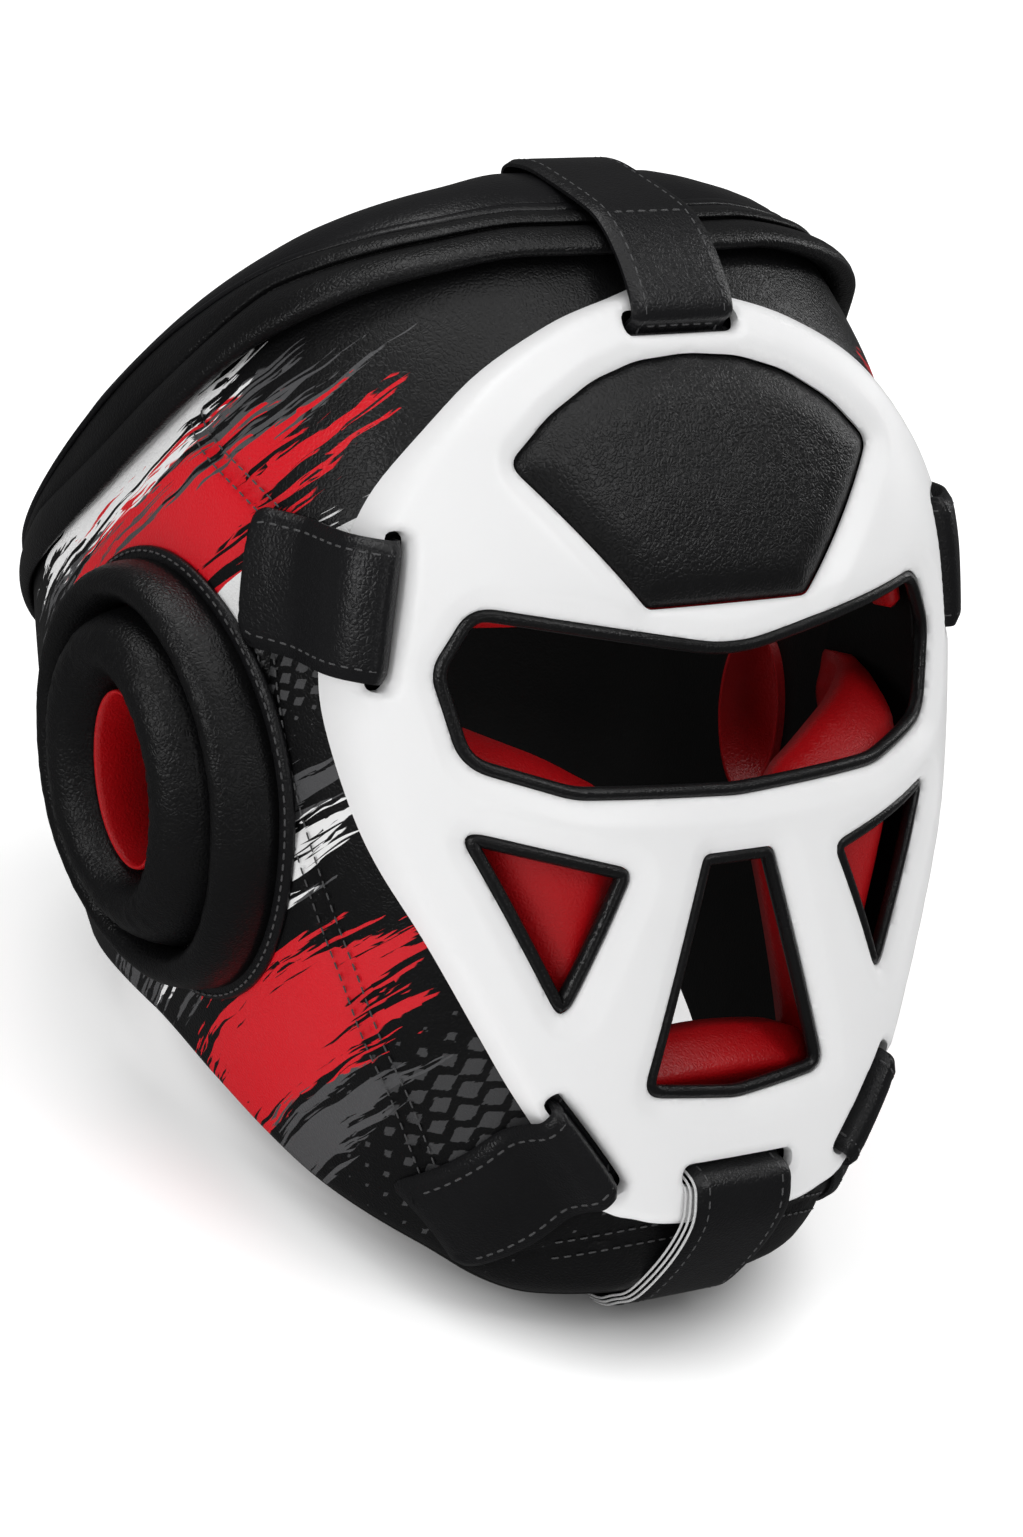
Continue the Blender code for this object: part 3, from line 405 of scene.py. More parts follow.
def printed_leather():
    """Black leather printed with slanted splinters in red, white and grey and fields of lozenges.

    Print coordinates: s is the way round from the middle of the face, z the height.  The splinters
    point along a, towards the front and up, and b runs across them.
    """
    nodes = Nodes("printed_leather")
    moved = nodes.add("VectorMath")
    moved.operation = "SUBTRACT"
    nodes.tree.links.new(nodes.coordinates(), moved.inputs[0])
    moved.inputs[1].default_value = head["pos_m"]
    turned = nodes.add("VectorRotate", Angle=LEAN)
    turned.rotation_type = "X_AXIS"
    nodes.tree.links.new(moved.outputs[0], turned.inputs["Vector"])
    split = nodes.add("SeparateXYZ")
    nodes.tree.links.new(turned.outputs[0], split.inputs[0])
    x, y, z = split.outputs
    ramp = nodes.ramp

    def plus(one, two):
        return nodes.math("ADD", one, two)

    def minus(one, two):
        return nodes.math("SUBTRACT", one, two)

    def times(one, two):
        return nodes.math("MULTIPLY", one, two)

    def times_plus(one, two, three):
        return nodes.math("MULTIPLY_ADD", one, two, three)

    def off(value, middle, reach=1.0):
        """Distance of a value from a middle, as a share of a reach."""
        return nodes.math("DIVIDE", nodes.math("ABSOLUTE", minus(value, middle)), reach)
    turn = nodes.math("ARCTAN2", nodes.math("ABSOLUTE", x), minus(PLAN_CENTRE, y))
    s = times(turn, PRINT_RADIUS)
    run, climb = math.cos(PRINT_SLOPE), math.sin(PRINT_SLOPE)
    a = plus(times(s, -run), times(z, climb))
    b = plus(times(s, climb), times(z, run))
    sway = times_plus(nodes.noise(1.0, 2.0, nodes.combine(times(a, 30.0), times(b, 60.0))), 0.006, b)

    def splinters(along, across, shift):
        """Random share of each long pointed cell."""
        cell = nodes.add("TexVoronoi", Scale=1.0, Randomness=1.0)
        cell.voronoi_dimensions = "2D"
        place = nodes.combine(times_plus(a, along, shift), times(sway, across))
        nodes.tree.links.new(place, cell.inputs["Vector"])
        parts = nodes.add("SeparateColor")
        nodes.tree.links.new(cell.outputs["Color"], parts.inputs[0])
        return parts.outputs[0]
    coarse = splinters(17.0, 400.0, 0.0)
    fine = splinters(26.0, 1000.0, 5.3)
    specks = splinters(150.0, 1300.0, 2.1)
    grain = times_plus(specks, 0.18, plus(times(coarse, 0.46), times(fine, 0.36)))

    def burst(b_mid, half, a_low, a_high, most, bend):
        """Field of splinters, whole in its middle and scattered at its ends and sides."""
        across = off(b, times_plus(a, bend, b_mid), half)
        along = off(a, (a_low + a_high) / 2, (a_high - a_low) / 2)
        thinning = plus(times(across, 0.55), times(nodes.math("POWER", along, 1.7), 0.75))
        return ramp(minus(minus(most, thinning), grain), 0.0, 0.02)

    def lozenges(cell, centre_b, reach_b, low_a, high_a, most):
        """Lattice of slanted lozenges that swell along the print."""
        u = nodes.math("DIVIDE", a, cell)
        v = nodes.math("DIVIDE", b, cell * 0.55)
        shifted = times_plus(nodes.math("FLOOR", v), 0.5, u)
        du = off(nodes.math("FRACT", shifted), 0.5)
        dv = off(nodes.math("FRACT", v), 0.5)
        far = plus(du, times(dv, 0.85))
        inside_field = minus(1.0, off(b, centre_b, reach_b))
        swell = times(ramp(a, low_a, high_a), times(ramp(inside_field, 0.0, 0.6), most))
        size = times_plus(minus(specks, 0.5), 0.10, swell)
        return ramp(minus(size, far), 0.0, 0.05)

    colour = nodes.mix(nodes.noise(28.0, 3.0), (*BLACK_DARK, 1), (*BLACK_LIGHT, 1))
    for layer in LOZENGES:
        colour = nodes.mix(lozenges(*layer[:-1]), colour, (*layer[-1], 1))
    for layer in BURSTS:
        colour = nodes.mix(burst(*layer[:-1]), colour, (*layer[-1], 1))
    return finish_leather(nodes, colour, 0.38, 0.8)


def grill_plastic():
    nodes = Nodes("grill_plastic")
    cloud = nodes.noise(18.0, 3.0)
    colour = nodes.mix(cloud, (0.80, 0.80, 0.805, 1), (0.86, 0.86, 0.862, 1))
    grain = nodes.bump(nodes.noise(1500.0, 2.0), 0.10, 0.0002)
    nodes.put(nodes.shader, "Base Color", colour)
    nodes.put(nodes.shader, "Roughness", nodes.math("MULTIPLY_ADD", nodes.noise(90.0, 3.0), 0.12, 0.34))
    nodes.put(nodes.shader, "Subsurface Weight", 0.08)
    nodes.put(nodes.shader, "Subsurface Radius", (0.004, 0.004, 0.004))
    nodes.put(nodes.shader, "Normal", grain)
    return nodes.material


def thread(name, colour):
    nodes = Nodes(name)
    twist = nodes.add("TexWave", Scale=900.0, Distortion=1.5)
    nodes.put(nodes.shader, "Base Color", (*colour, 1))
    nodes.put(nodes.shader, "Roughness", 0.65)
    nodes.put(nodes.shader, "Normal", nodes.bump(twist.outputs["Fac"], 0.4, 0.0002))
    return nodes.material


SHELL_LEATHER = printed_leather()
BLACK_LEATHER = leather("black_leather", BLACK_DARK, BLACK_LIGHT)
STRAP_LEATHER = leather("strap_leather", (0.0045, 0.0045, 0.005), (0.010, 0.010, 0.011), 0.34, 0.7)
BINDING_LEATHER = leather("binding_leather", (0.004, 0.004, 0.0045), (0.009, 0.009, 0.010), 0.30, 0.5)
LINING = leather("lining", (0.003, 0.003, 0.003), (0.006, 0.006, 0.006), 0.7, 0.5)
RED_LEATHER = leather("red_leather", RED_DEEP, RED, 0.40, 0.8)
EDGING = leather("edging", (0.004, 0.004, 0.0042), (0.008, 0.008, 0.0085), 0.30, 0.6)
GRILL = grill_plastic()
THREAD = thread("grey_thread", (0.070, 0.070, 0.072))
PALE_EDGE = thread("pale_edge", (0.62, 0.62, 0.62))


# Mesh helpers
def add_piece(name, points, faces, material, replaces=(), slot="black_leather", fill=None, sharp=None):
    """Object from points in the guard frame."""
    mesh = bpy.data.meshes.new(name)
    mesh.from_pydata([tuple(p) for p in np.asarray(points).reshape(-1, 3)], [], faces)
    mesh.transform(GUARD)
    for vertex in mesh.vertices:
        vertex.co.z = max(vertex.co.z, 0)
    work = bmesh.new()
    work.from_mesh(mesh)
    bmesh.ops.recalc_face_normals(work, faces=work.faces)
    if work.calc_volume(signed=True) < 0:
        bmesh.ops.reverse_faces(work, faces=work.faces)
    work.to_mesh(mesh)
    work.free()
    mesh.shade_smooth()
    if sharp:
        mesh.set_sharp_from_angle(angle=math.radians(sharp))
    mesh.materials.append(material)
    piece = bpy.data.objects.new(name, mesh)
    bpy.context.scene.collection.objects.link(piece)
    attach(piece, "root")
    for node in replaces:
        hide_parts(node)
    return piece


def ring_faces(stations, count, closed=True):
    faces = []
    for i in range(stations if closed else stations - 1):
        here, there = i * count, (i + 1) % stations * count
        for j in range(count):
            after = (j + 1) % count
            faces.append((here + j, here + after, there + after, there + j))
    if not closed:
        faces.append(tuple(range(count)))
        faces.append(tuple(range((stations - 1) * count, stations * count)))
    return faces


def rounded(corners, steps=8):
    """Closed outline through corners (x, z, radius), with each corner rounded as far as it has room."""
    outline = []
    count = len(corners)
    for i in range(count):
        corner = Vector(corners[i][:2])
        before = Vector(corners[i - 1][:2]) - corner
        after = Vector(corners[(i + 1) % count][:2]) - corner
        half_angle = before.angle(after) / 2
        room = 0.48 * min(before.length, after.length)
        reach = min(corners[i][2] / math.tan(half_angle), room)
        if reach < 1e-6 or half_angle > math.radians(89.5):
            outline.append(corner)
            continue
        start = corner + before.normalized() * reach
        end = corner + after.normalized() * reach
        for k in range(steps + 1):
            t = k / steps
            outline.append(start * (1 - t) ** 2 + corner * 2 * t * (1 - t) + end * t * t)
    return outline


def as_rows(points):
    return np.array([tuple(p) for p in points])


def unit(rows):
    return rows / np.linalg.norm(rows, axis=1)[:, None]


def beside(way):
    """Right-hand normals of directions in a plane."""
    return np.stack([way[:, 1], -way[:, 0]], axis=1)


def between(p0, p1, p2, p3, t):
    """Point of a soft curve between p1 and p2."""
    return 0.5 * (2 * p1 + (p2 - p0) * t + (2 * p0 - 5 * p1 + 4 * p2 - p3) * t * t
                  + (3 * p1 - p0 - 3 * p2 + p3) * t ** 3)


def mirrored(corners):
    left = [(-x, z, radius) for x, z, radius in reversed(corners) if x > 0]
    return list(corners) + left


def scaled(rows, factor):
    return [tuple(value * factor for value in row) for row in rows]


def opening(corners, step):
    """Even outline of an opening that is the same on both sides."""
    return evened(rounded(mirrored(scaled(corners, GRILL_HALF))), step)


def evened(outline, step):
    """Outline with points at even steps along it."""
    spots = as_rows(outline)
    ahead = np.roll(spots, -1, axis=0)
    lengths = np.linalg.norm(ahead - spots, axis=1)
    total = lengths.sum()
    count = max(8, int(round(total / step)))
    marks = np.concatenate([[0], np.cumsum(lengths)])
    closed = np.vstack([spots, spots[:1]])
    at = np.arange(count) * total / count
    return np.stack([np.interp(at, marks, closed[:, k]) for k in (0, 1)], axis=1)


def curved(outline, step):
    """Outline bent softly through its points, with points at even steps along it."""
    spots = [Vector(p) for p in outline]
    count = len(spots)
    fine = []
    for i in range(count):
        four = [spots[(i + k) % count] for k in (-1, 0, 1, 2)]
        fine += [between(*four, k / 6) for k in range(6)]
    return evened(fine, step)


def slot_outline(slot, side=1):
    x, z, half_length, half_width, lean = slot
    along = Vector((math.cos(math.radians(lean)), -math.sin(math.radians(lean))))
    across = Vector((-along.y, along.x))
    ends = [(half_length, half_width), (-half_length, half_width),
            (-half_length, -half_width), (half_length, -half_width)]
    corners = [Vector((x, z)) + along * u + across * v for u, v in ends]
    return [Vector((side * p.x, p.y)) for p in rounded([(*c, half_width * 0.95) for c in corners], 5)]


def far_from(spots, loop):
    """Distance of each spot from a closed loop of points."""
    ahead = np.roll(loop, -1, axis=0)
    way = ahead - loop
    square = np.maximum((way ** 2).sum(axis=1), 1e-16)
    nearest = np.full(len(spots), 1e9)
    for start in range(0, len(spots), 4000):
        part = spots[start:start + 4000]
        rel = part[:, None, :] - loop[None]
        share = np.clip((rel * way[None]).sum(axis=2) / square, 0, 1)
        gap = rel - share[..., None] * way[None]
        nearest[start:start + 4000] = np.sqrt((gap ** 2).sum(axis=2).min(axis=1))
    return nearest


def filled(outline, holes, cell):
    """Flat triangles inside an outline and outside its holes: (points, triangles, boundary edges)."""
    loops = [outline, *holes]
    points = [tuple(p) for loop in loops for p in loop]
    edges = []
    start = 0
    for loop in loops:
        edges += [(start + i, start + (i + 1) % len(loop)) for i in range(len(loop))]
        start += len(loop)
    low, high = outline.min(axis=0), outline.max(axis=0)
    rows = np.arange(low[1], high[1], cell * 0.866)
    grid = []
    for i, z in enumerate(rows):
        xs = np.arange(low[0] + (i % 2) * cell / 2, high[0], cell)
        grid.append(np.stack([xs, np.full_like(xs, z)], axis=1))
    grid = np.concatenate(grid)
    clear = np.min([far_from(grid, loop) for loop in loops], axis=0) > 0.55 * cell
    grid = grid[clear]
    points += [tuple(p) for p in grid]
    made = delaunay_2d_cdt([Vector(p) for p in points], edges, [], 0, 1e-7)
    spots = np.array([tuple(v) for v in made[0]])
    tris = np.array([f for f in made[2] if len(f) == 3])
    middles = spots[tris].mean(axis=1)
    keep = inside(middles, outline)
    for hole in holes:
        keep &= ~inside(middles, hole)
    tris = tris[keep]
    used = {}
    for tri in tris:
        for i in range(3):
            one, two = int(tri[i]), int(tri[(i + 1) % 3])
            if (two, one) in used:
                used.pop((two, one))
            else:
                used[(one, two)] = True
    return spots, tris, list(used)


def inside(spots, loop):
    """Which spots lie inside a closed loop."""
    hit = np.zeros(len(spots), bool)
    ahead = np.roll(loop, -1, axis=0)
    for (x0, z0), (x1, z1) in zip(loop, ahead):
        crosses = (z0 > spots[:, 1]) != (z1 > spots[:, 1])
        with np.errstate(divide="ignore", invalid="ignore"):
            at = x0 + (spots[:, 1] - z0) / (z1 - z0) * (x1 - x0)
        hit ^= crosses & (spots[:, 0] < at)
    return hit


def plate(name, outline, holes, outer, inner, cell, material, **options):
    """Plate on the front of the form.  outer and inner take (spots, distance to its edges)."""
    spots, tris, rim = filled(outline, holes, cell)
    gaps = [far_from(spots, loop) for loop in (outline, *holes)]
    top = front_points(spots[:, 0], spots[:, 1], outer(spots, gaps))
    low = front_points(spots[:, 0], spots[:, 1], inner(spots, gaps))
    count = len(spots)
    faces = [tuple(int(i) for i in tri) for tri in tris]
    faces += [tuple(int(i) + count for i in tri[::-1]) for tri in tris]
    faces += [(a, b, b + count, a + count) for a, b in rim]
    points = np.concatenate([top, low])
    used = sorted({i for face in faces for i in face})
    new = {old: k for k, old in enumerate(used)}
    faces = [tuple(new[i] for i in face) for face in faces]
    return add_piece(name, points[used], faces, material, **options)


def bent(points, steps):
    """Path through points with soft bends between them."""
    spots = [Vector(point) for point in points]
    spots = [spots[0], *spots, spots[-1]]
    path = []
    for i in range(1, len(spots) - 2):
        path += [between(*spots[i - 1:i + 3], k / steps) for k in range(steps)]
    path.append(spots[-2])
    return path


def stitches(name, runs, length, pitch, thick):
    """Rows of short threads; a run is a list of points in the guard frame."""
    points = []
    faces = []
    for run in runs:
        path = np.asarray(run)
        lengths = np.linalg.norm(np.diff(path, axis=0), axis=1)
        marks = np.concatenate([[0], np.cumsum(lengths)])
        for start in np.arange(pitch / 2, marks[-1] - length, pitch):
            ends = [np.array([np.interp(start + f * length, marks, path[:, k]) for k in range(3)])
                    for f in (0, 0.5, 1)]
            way = ends[2] - ends[0]
            way /= max(np.linalg.norm(way), 1e-9)
            side = np.cross(way, (0.31, 0.52, 0.79))
            side /= np.linalg.norm(side)
            rise = np.cross(way, side)
            base = len(points)
            for spot, size in ((ends[0], 0.45), (ends[0] * 0.7 + ends[1] * 0.3, 1.0),
                               (ends[2] * 0.7 + ends[1] * 0.3, 1.0), (ends[2], 0.45)):
                for k in range(6):
                    turn = math.pi * k / 3
                    points.append(spot + (side * math.cos(turn) + rise * math.sin(turn)) * thick * size)
            faces += [tuple(base + i for i in face) for face in ring_faces(4, 6, closed=False)]
    add_piece(name, points, faces, THREAD)


# Shell and crown
SEAM = [
    # angle from the face in degrees, height in metres
    (74, 0.103), (70.8, 0.096), (61.0, 0.085), (55.5, 0.076), (56.0, 0.062), (57.6, 0.046), (55.1, 0.0134),
    (50.6, -0.0167), (46.9, -0.0384), (44.5, -0.0527), (41.0, -0.0682), (37.5, -0.088), (34.0, -0.108),
]
CHIN_SEAM = [(0, -0.104), (12, -0.105), (22, -0.108), (31, -0.113), (38, -0.116)]


def seam_drop(angle, z, seam, depth, width):
    """How far a sewn seam pulls the leather in."""
    flat = as_rows(bent(seam, 5)) * np.array([DEGREE_ARC, 1.0])
    spots = np.stack([np.abs((angle + 180) % 360 - 180) * DEGREE_ARC, z], axis=-1).reshape(-1, 2)
    nearest = np.full(len(spots), 1e9)
    for one, two in zip(flat, flat[1:]):
        way = two - one
        share = np.clip(((spots - one) @ way) / max(way @ way, 1e-12), 0, 1)
        nearest = np.minimum(nearest, np.linalg.norm(spots - one - share[:, None] * way, axis=1))
    nearest = nearest.reshape(np.shape(angle))
    return depth * np.exp(-(nearest / width) ** 2) + 0.35 * depth * np.exp(-(nearest / (4 * width)) ** 2)


def make_shell():
    rises, inner_steps, cap = 110, 40, 9
    angles = np.arange(STATIONS) * 360 / STATIONS
    shares = 0.5 - 0.5 * np.cos(np.pi * np.arange(rises + 1) / rises)
    shares = 0.5 * shares + 0.5 * np.arange(rises + 1) / rises
    sections = []
    for angle in angles:
        low = edge(NECK_EDGE, angle) + EDGE_CAP
        high = edge(CROWN_EDGE, angle) - EDGE_CAP
        zs = low + (high - low) * shares
        turns = np.full_like(zs, angle)
        outs = -seam_drop(turns, zs, SEAM, 1.3 * MM, 1.1 * MM)
        outs -= seam_drop(turns, zs, CHIN_SEAM, 1.0 * MM, 1.0 * MM)
        section = list(zip(zs, outs))
        section += [cap_point(angle, 180 * (k + 1) / (cap + 1)) for k in range(cap)]
        drop, wall = (high - low) / inner_steps, 2 * wall_half(angle)
        section += [(high - drop * k, -wall) for k in range(inner_steps + 1)]
        section += [cap_point(angle, 180 * (k + 1) / (cap + 1), crown=False) for k in reversed(range(cap))]
        sections.append(round_points(angle, [p[0] for p in section], [p[1] for p in section]))
    points = np.array(sections)
    count = points.shape[1]
    faces = ring_faces(STATIONS, count)
    shell = add_piece("shell", points, faces, SHELL_LEATHER, ["outer_shell"], fill=0.9)
    shell.data.materials.append(LINING)
    for polygon in shell.data.polygons:
        if all(i % count > rises + cap // 2 for i in polygon.vertices):
            polygon.material_index = 1
    cutters = [[[(x, y, z) for x, z in opening(FACE_CORNERS, 2 * MM)] for y in (-0.2, -0.03)]]
    for side in (1, -1):
        turns = [2 * math.pi * k / 72 for k in range(72)]
        oval = [(EAR_Y + EAR_HOLE[0] * math.cos(t), EAR_Z + EAR_HOLE[1] * math.sin(t)) for t in turns]
        cutters.append([[(side * x, y, z) for y, z in oval] for x in (0.05, 0.2)])
    for rings in cutters:
        count = len(rings[0])
        mesh = bpy.data.meshes.new("cutter")
        mesh.from_pydata([p for ring in rings for p in ring], [], ring_faces(2, count, closed=False))
        mesh.transform(GUARD)
        work = bmesh.new()
        work.from_mesh(mesh)
        bmesh.ops.recalc_face_normals(work, faces=work.faces)
        work.to_mesh(mesh)
        work.free()
        for material in (SHELL_LEATHER, LINING):
            mesh.materials.append(material)
        for polygon in mesh.polygons:
            polygon.material_index = 1
        helper = bpy.data.objects.new("cutter", mesh)
        bpy.context.scene.collection.objects.link(helper)
        modifier = shell.modifiers.new("cut", "BOOLEAN")
        modifier.object = helper
        modifier.solver = "EXACT"
        graph = bpy.context.evaluated_depsgraph_get()
        carved = bpy.data.meshes.new_from_object(shell.evaluated_get(graph))
        shell.modifiers.clear()
        bpy.data.objects.remove(helper)
        shell.data = carved
    shell.data.shade_smooth()
    shell.data.set_sharp_from_angle(angle=math.radians(40))
    return shell


def crown_ring(name, profile, material, nodes=(), **options):
    """Ring round the crown; profile(angle) gives its section as (z, out)."""
    points = []
    for k in range(STATIONS):
        angle = 360 * k / STATIONS
        zs, outs = zip(*profile(angle))
        points.append(round_points(angle, zs, outs))
    points = np.array(points)
    add_piece(name, points, ring_faces(STATIONS, points.shape[1]), material, nodes, **options)


def band_share(angle):
    """Share of the band's full rise at an angle: it flattens from the temples to the ears."""
    turn = abs((angle + 180) % 360 - 180)
    return 1 - (1 - BAND_BACK) * min(max((turn - BAND_FALL[0]) / BAND_FALL[1], 0), 1)


def band_profile(angle):
    """Section of the band: a stuffed roll in front of a flatter strip, with a sewn groove between."""
    low = edge(BAND_EDGE, angle)
    high = edge(CROWN_EDGE, angle) - EDGE_CAP - 0.5 * MM
    share = band_share(angle)
    roll = min(ROLL_WIDTH, (high - low) * 0.62)
    roll_rise, band_rise = ROLL_RISE * share, BAND_RISE * share
    points = [(low + 0.16 * roll, GAP)]
    for k in range(15):
        turn = math.radians(205 - k * 15.5)
        points.append((low + 0.46 * roll + 0.56 * roll * math.cos(turn),
                       0.46 * roll_rise + 0.53 * roll_rise * math.sin(turn)))
    start = points[-1][0] + 0.06 * roll
    rest = high - start
    points.append((start, 0.22 * roll_rise))
    for k in range(1, 15):
        t = k / 15
        plump = 1 - abs(2 * t ** 0.85 - 1) ** 3.2
        points.append((start + rest * t, 0.22 * roll_rise + (1.04 * band_rise - 0.22 * roll_rise) * plump))
    points += [(high, GAP)]
    points += [(low + part * (high - low), GAP) for part in (0.75, 0.5, 0.25)]
    return points


def binding_profile(angle):
    over = [cap_point(angle, turn, BINDING_RISE * (0.7 + 0.3 * math.sin(math.radians((turn - 2) * 1.6))))
            for turn in (2, 8, 20, 35, 50, 65, 80, 95, 104, 108)]
    under = [cap_point(angle, turn, 0.2 * MM) for turn in (108, 80, 50, 20, 2)]
    return over + under


def piping_profile(angle):
    """Thin cord sewn where the crown binding meets the band."""
    radius = 1.1 * MM
    z, out = cap_point(angle, 0, BINDING_RISE * 0.9)
    turns = [2 * math.pi * j / 8 for j in range(8)]
    return [(z + radius * math.cos(turn), out + radius * math.sin(turn) - 0.3 * MM) for turn in turns]


def seam_stitches():
    """Two rows of stitches along each sewn seam of the shell."""
    runs = []
    for seam in (SEAM, CHIN_SEAM[:3]):
        path = as_rows(bent(seam, 8))
        way = unit(np.gradient(path * np.array([DEGREE_ARC, 1.0]), axis=0))
        for aside in (2.4 * MM, -2.4 * MM):
            moved = path + np.stack([-way[:, 1] / DEGREE_ARC, way[:, 0]], axis=1) * aside
            for side in (1, -1):
                runs.append(round_points(moved[:, 0], moved[:, 1], 0.05 * MM) * np.array([side, 1, 1]))
    stitches("seam_stitch", runs, length=2.0 * MM, pitch=3.2 * MM, thick=0.26 * MM)


make_shell()
seam_stitches()
crown_ring("band", band_profile, BLACK_LEATHER, ["crown_band"], fill=0.8)
crown_ring("binding", binding_profile, BINDING_LEATHER, ["crown_binding"])
crown_ring("crown_piping", piping_profile, BINDING_LEATHER)


# Ear pads
def ear_ring(name, inner, profile, side, material, nodes, wrinkle=0.0, **options):
    """Oval ring on the side; profile gives (reach outward, out) and inner the half length and height."""
    points = []
    stations = 144
    for k in range(stations):
        turn = 2 * math.pi * k / stations
        ys, zs, outs = [], [], []
        for reach, out in profile:
            if wrinkle and out > 4 * MM:
                across, up = math.cos(turn), math.sin(turn)
                fold = noise.noise(Vector((across * 26, up * 26, reach * 300 + side * 7)))
                fold += 0.6 * noise.noise(Vector((across * 60, up * 60, reach * 500 + side * 3)))
                out += wrinkle * fold
            ys.append(EAR_Y + (inner[0] + reach) * math.cos(turn))
            zs.append(EAR_Z + (inner[1] + reach) * math.sin(turn))
            outs.append(out)
        points.append(side_points(ys, zs, outs, side))
    points = np.array(points)
    add_piece(name, points, ring_faces(stations, points.shape[1]), material, nodes, **options)


def puff(width, base, rise, inner_drop=0.72, outer_drop=0.62, steps=18):
    """Section of a stuffed ring: (reach, out), pulled in at both sewn edges."""
    points = [(0.10 * width, base)]
    for k in range(steps + 1):
        t = k / steps
        turn = math.pi * (1 - t)
        lift = math.sin(turn) ** 0.62
        edge_drop = inner_drop * (1 - t) + outer_drop * t
        share = lift * edge_drop + (1 - edge_drop) * lift ** 2.2
        points.append((width * (0.5 + 0.5 * math.cos(turn)), base + (rise - base) * share))
    points.append((0.90 * width, base))
    return points


def make_ear(side, word):
    ring = [length + DONUT_WIDTH + GAP for length in EAR_HOLE]
    flange = [length + DONUT_WIDTH + FLANGE_SEAT for length in EAR_HOLE]
    reach = RING_WIDTH + FLANGE_REACH - FLANGE_SEAT
    base = [(0, GAP), (0, 1.6 * MM), (0.8 * reach, 1.9 * MM), (0.96 * reach, 1.7 * MM),
            (reach, 1.1 * MM), (reach, GAP)]
    ear_ring("ear_base_" + word, flange, base, side, STRAP_LEATHER, ["ear_flange_" + word])
    roll = puff(RING_WIDTH, 1.9 * MM, RING_RISE)
    ear_ring("ear_roll_" + word, ring, roll, side, BLACK_LEATHER, ["ear_ring_" + word],
             wrinkle=0.24 * MM, fill=0.9)
    pad = puff(DONUT_WIDTH, 0.6 * MM, DONUT_RISE, 0.5, 0.7)
    ear_ring("ear_pad_" + word, EAR_HOLE, pad, side, BLACK_LEATHER, ["ear_donut_" + word],
             wrinkle=0.42 * MM, fill=0.9)
    lining = [length - GAP - LINING_WALL for length in EAR_HOLE]
    tube = [(0, -WALL_FRONT), (0, 0.55 * DONUT_RISE), (0.3 * MM, 0.62 * DONUT_RISE),
            (1.0 * MM, 0.64 * DONUT_RISE), (LINING_WALL, 0.6 * DONUT_RISE), (LINING_WALL, -WALL_FRONT)]
    ear_ring("ear_tunnel_" + word, lining, tube, side, RED_LEATHER, ["ear_lining_" + word],
             slot="red_leather")
    turns = np.linspace(0, 2 * math.pi, 260)
    length, height = (size + reach - 1.3 * MM for size in flange)
    row = side_points(EAR_Y + length * np.cos(turns), EAR_Z + height * np.sin(turns), 2.0 * MM, side)
    stitches("ear_stitch_" + word, [row], length=1.9 * MM, pitch=3.0 * MM, thick=0.3 * MM)


for ear_side, ear_word in ((1, "left"), (-1, "right")):
    make_ear(ear_side, ear_word)


# Grill and what shows through it
def soft_drop(gap, width, drop, power):
    """Fall of a surface towards an edge over a width."""
    return drop * np.clip(1 - gap / width, 0, 1) ** power


def chamfer(gap, width, drop, turn=0.9 * MM):
    """Straight slope towards an edge, with a small round where it starts."""
    reach = (width - gap + np.sqrt((width - gap) ** 2 + turn ** 2)) / 2
    return drop * np.clip(reach / width, 0, 1.2)


def make_grill():
    step = 1.0 * MM
    half = [(x * GRILL_HALF, z * GRILL_TOP) for x, z in GRILL_OUTLINE]
    outline = curved(half + [(-x, z) for x, z in reversed(half) if x > 0], 1.6 * MM)
    wide = [opening(corners, step) for corners in (EYE_CORNERS, MOUTH_CORNERS, WINDOW_CORNERS)]
    narrow = [evened(slot_outline(s), step) for s in (TOP_SLOT, CHIN_SLOT)]
    for side in (1, -1):
        cheek = rounded(scaled(CHEEK_CORNERS, GRILL_HALF))
        wide.append(evened([Vector((side * p.x, p.y)) for p in cheek], step))
        narrow += [evened(slot_outline(s, side), step) for s in (TEMPLE_SLOT, JAW_SLOT)]
    count = len(wide)

    def outer(spots, gaps):
        out = np.full(len(spots), GRILL_OUT)
        out -= soft_drop(gaps[0], 2.6 * MM, 1.7 * MM, 2.0)
        for gap in gaps[1:1 + count]:
            out -= chamfer(gap, 6.0 * MM, 2.9 * MM) + soft_drop(gap, 0.9 * MM, 0.6 * MM, 2)
        for gap in gaps[1 + count:]:
            out -= soft_drop(gap, 1.8 * MM, 1.0 * MM, 2.0)
        return np.maximum(out, GRILL_OUT - GRILL_WALL + 0.6 * MM)

    def inner(spots, gaps):
        return np.where(gaps[0] < 1.5 * MM, GAP, GRILL_OUT - GRILL_WALL)
    plate("grill", outline, wide + narrow, outer, inner, 1.25 * MM, GRILL, replaces=["face_grill"],
          slot="white_plastic", sharp=50)
    return dict(zip(("eye", "mouth", "window", "cheek_left", "cheek_right"), wide))


def inset(loop, by):
    """Loop moved inward, evened again."""
    ahead = np.roll(loop, -1, axis=0)
    area = (loop[:, 0] * ahead[:, 1] - ahead[:, 0] * loop[:, 1]).sum()
    before = loop - np.roll(loop, 1, axis=0)
    after = ahead - loop
    normal = unit(-beside(unit(before) + unit(after)))
    moved = loop + normal * by * (1 if area > 0 else -1)
    keep = far_from(moved, loop) > by * 0.97
    return evened(moved[keep], 1.4 * MM)


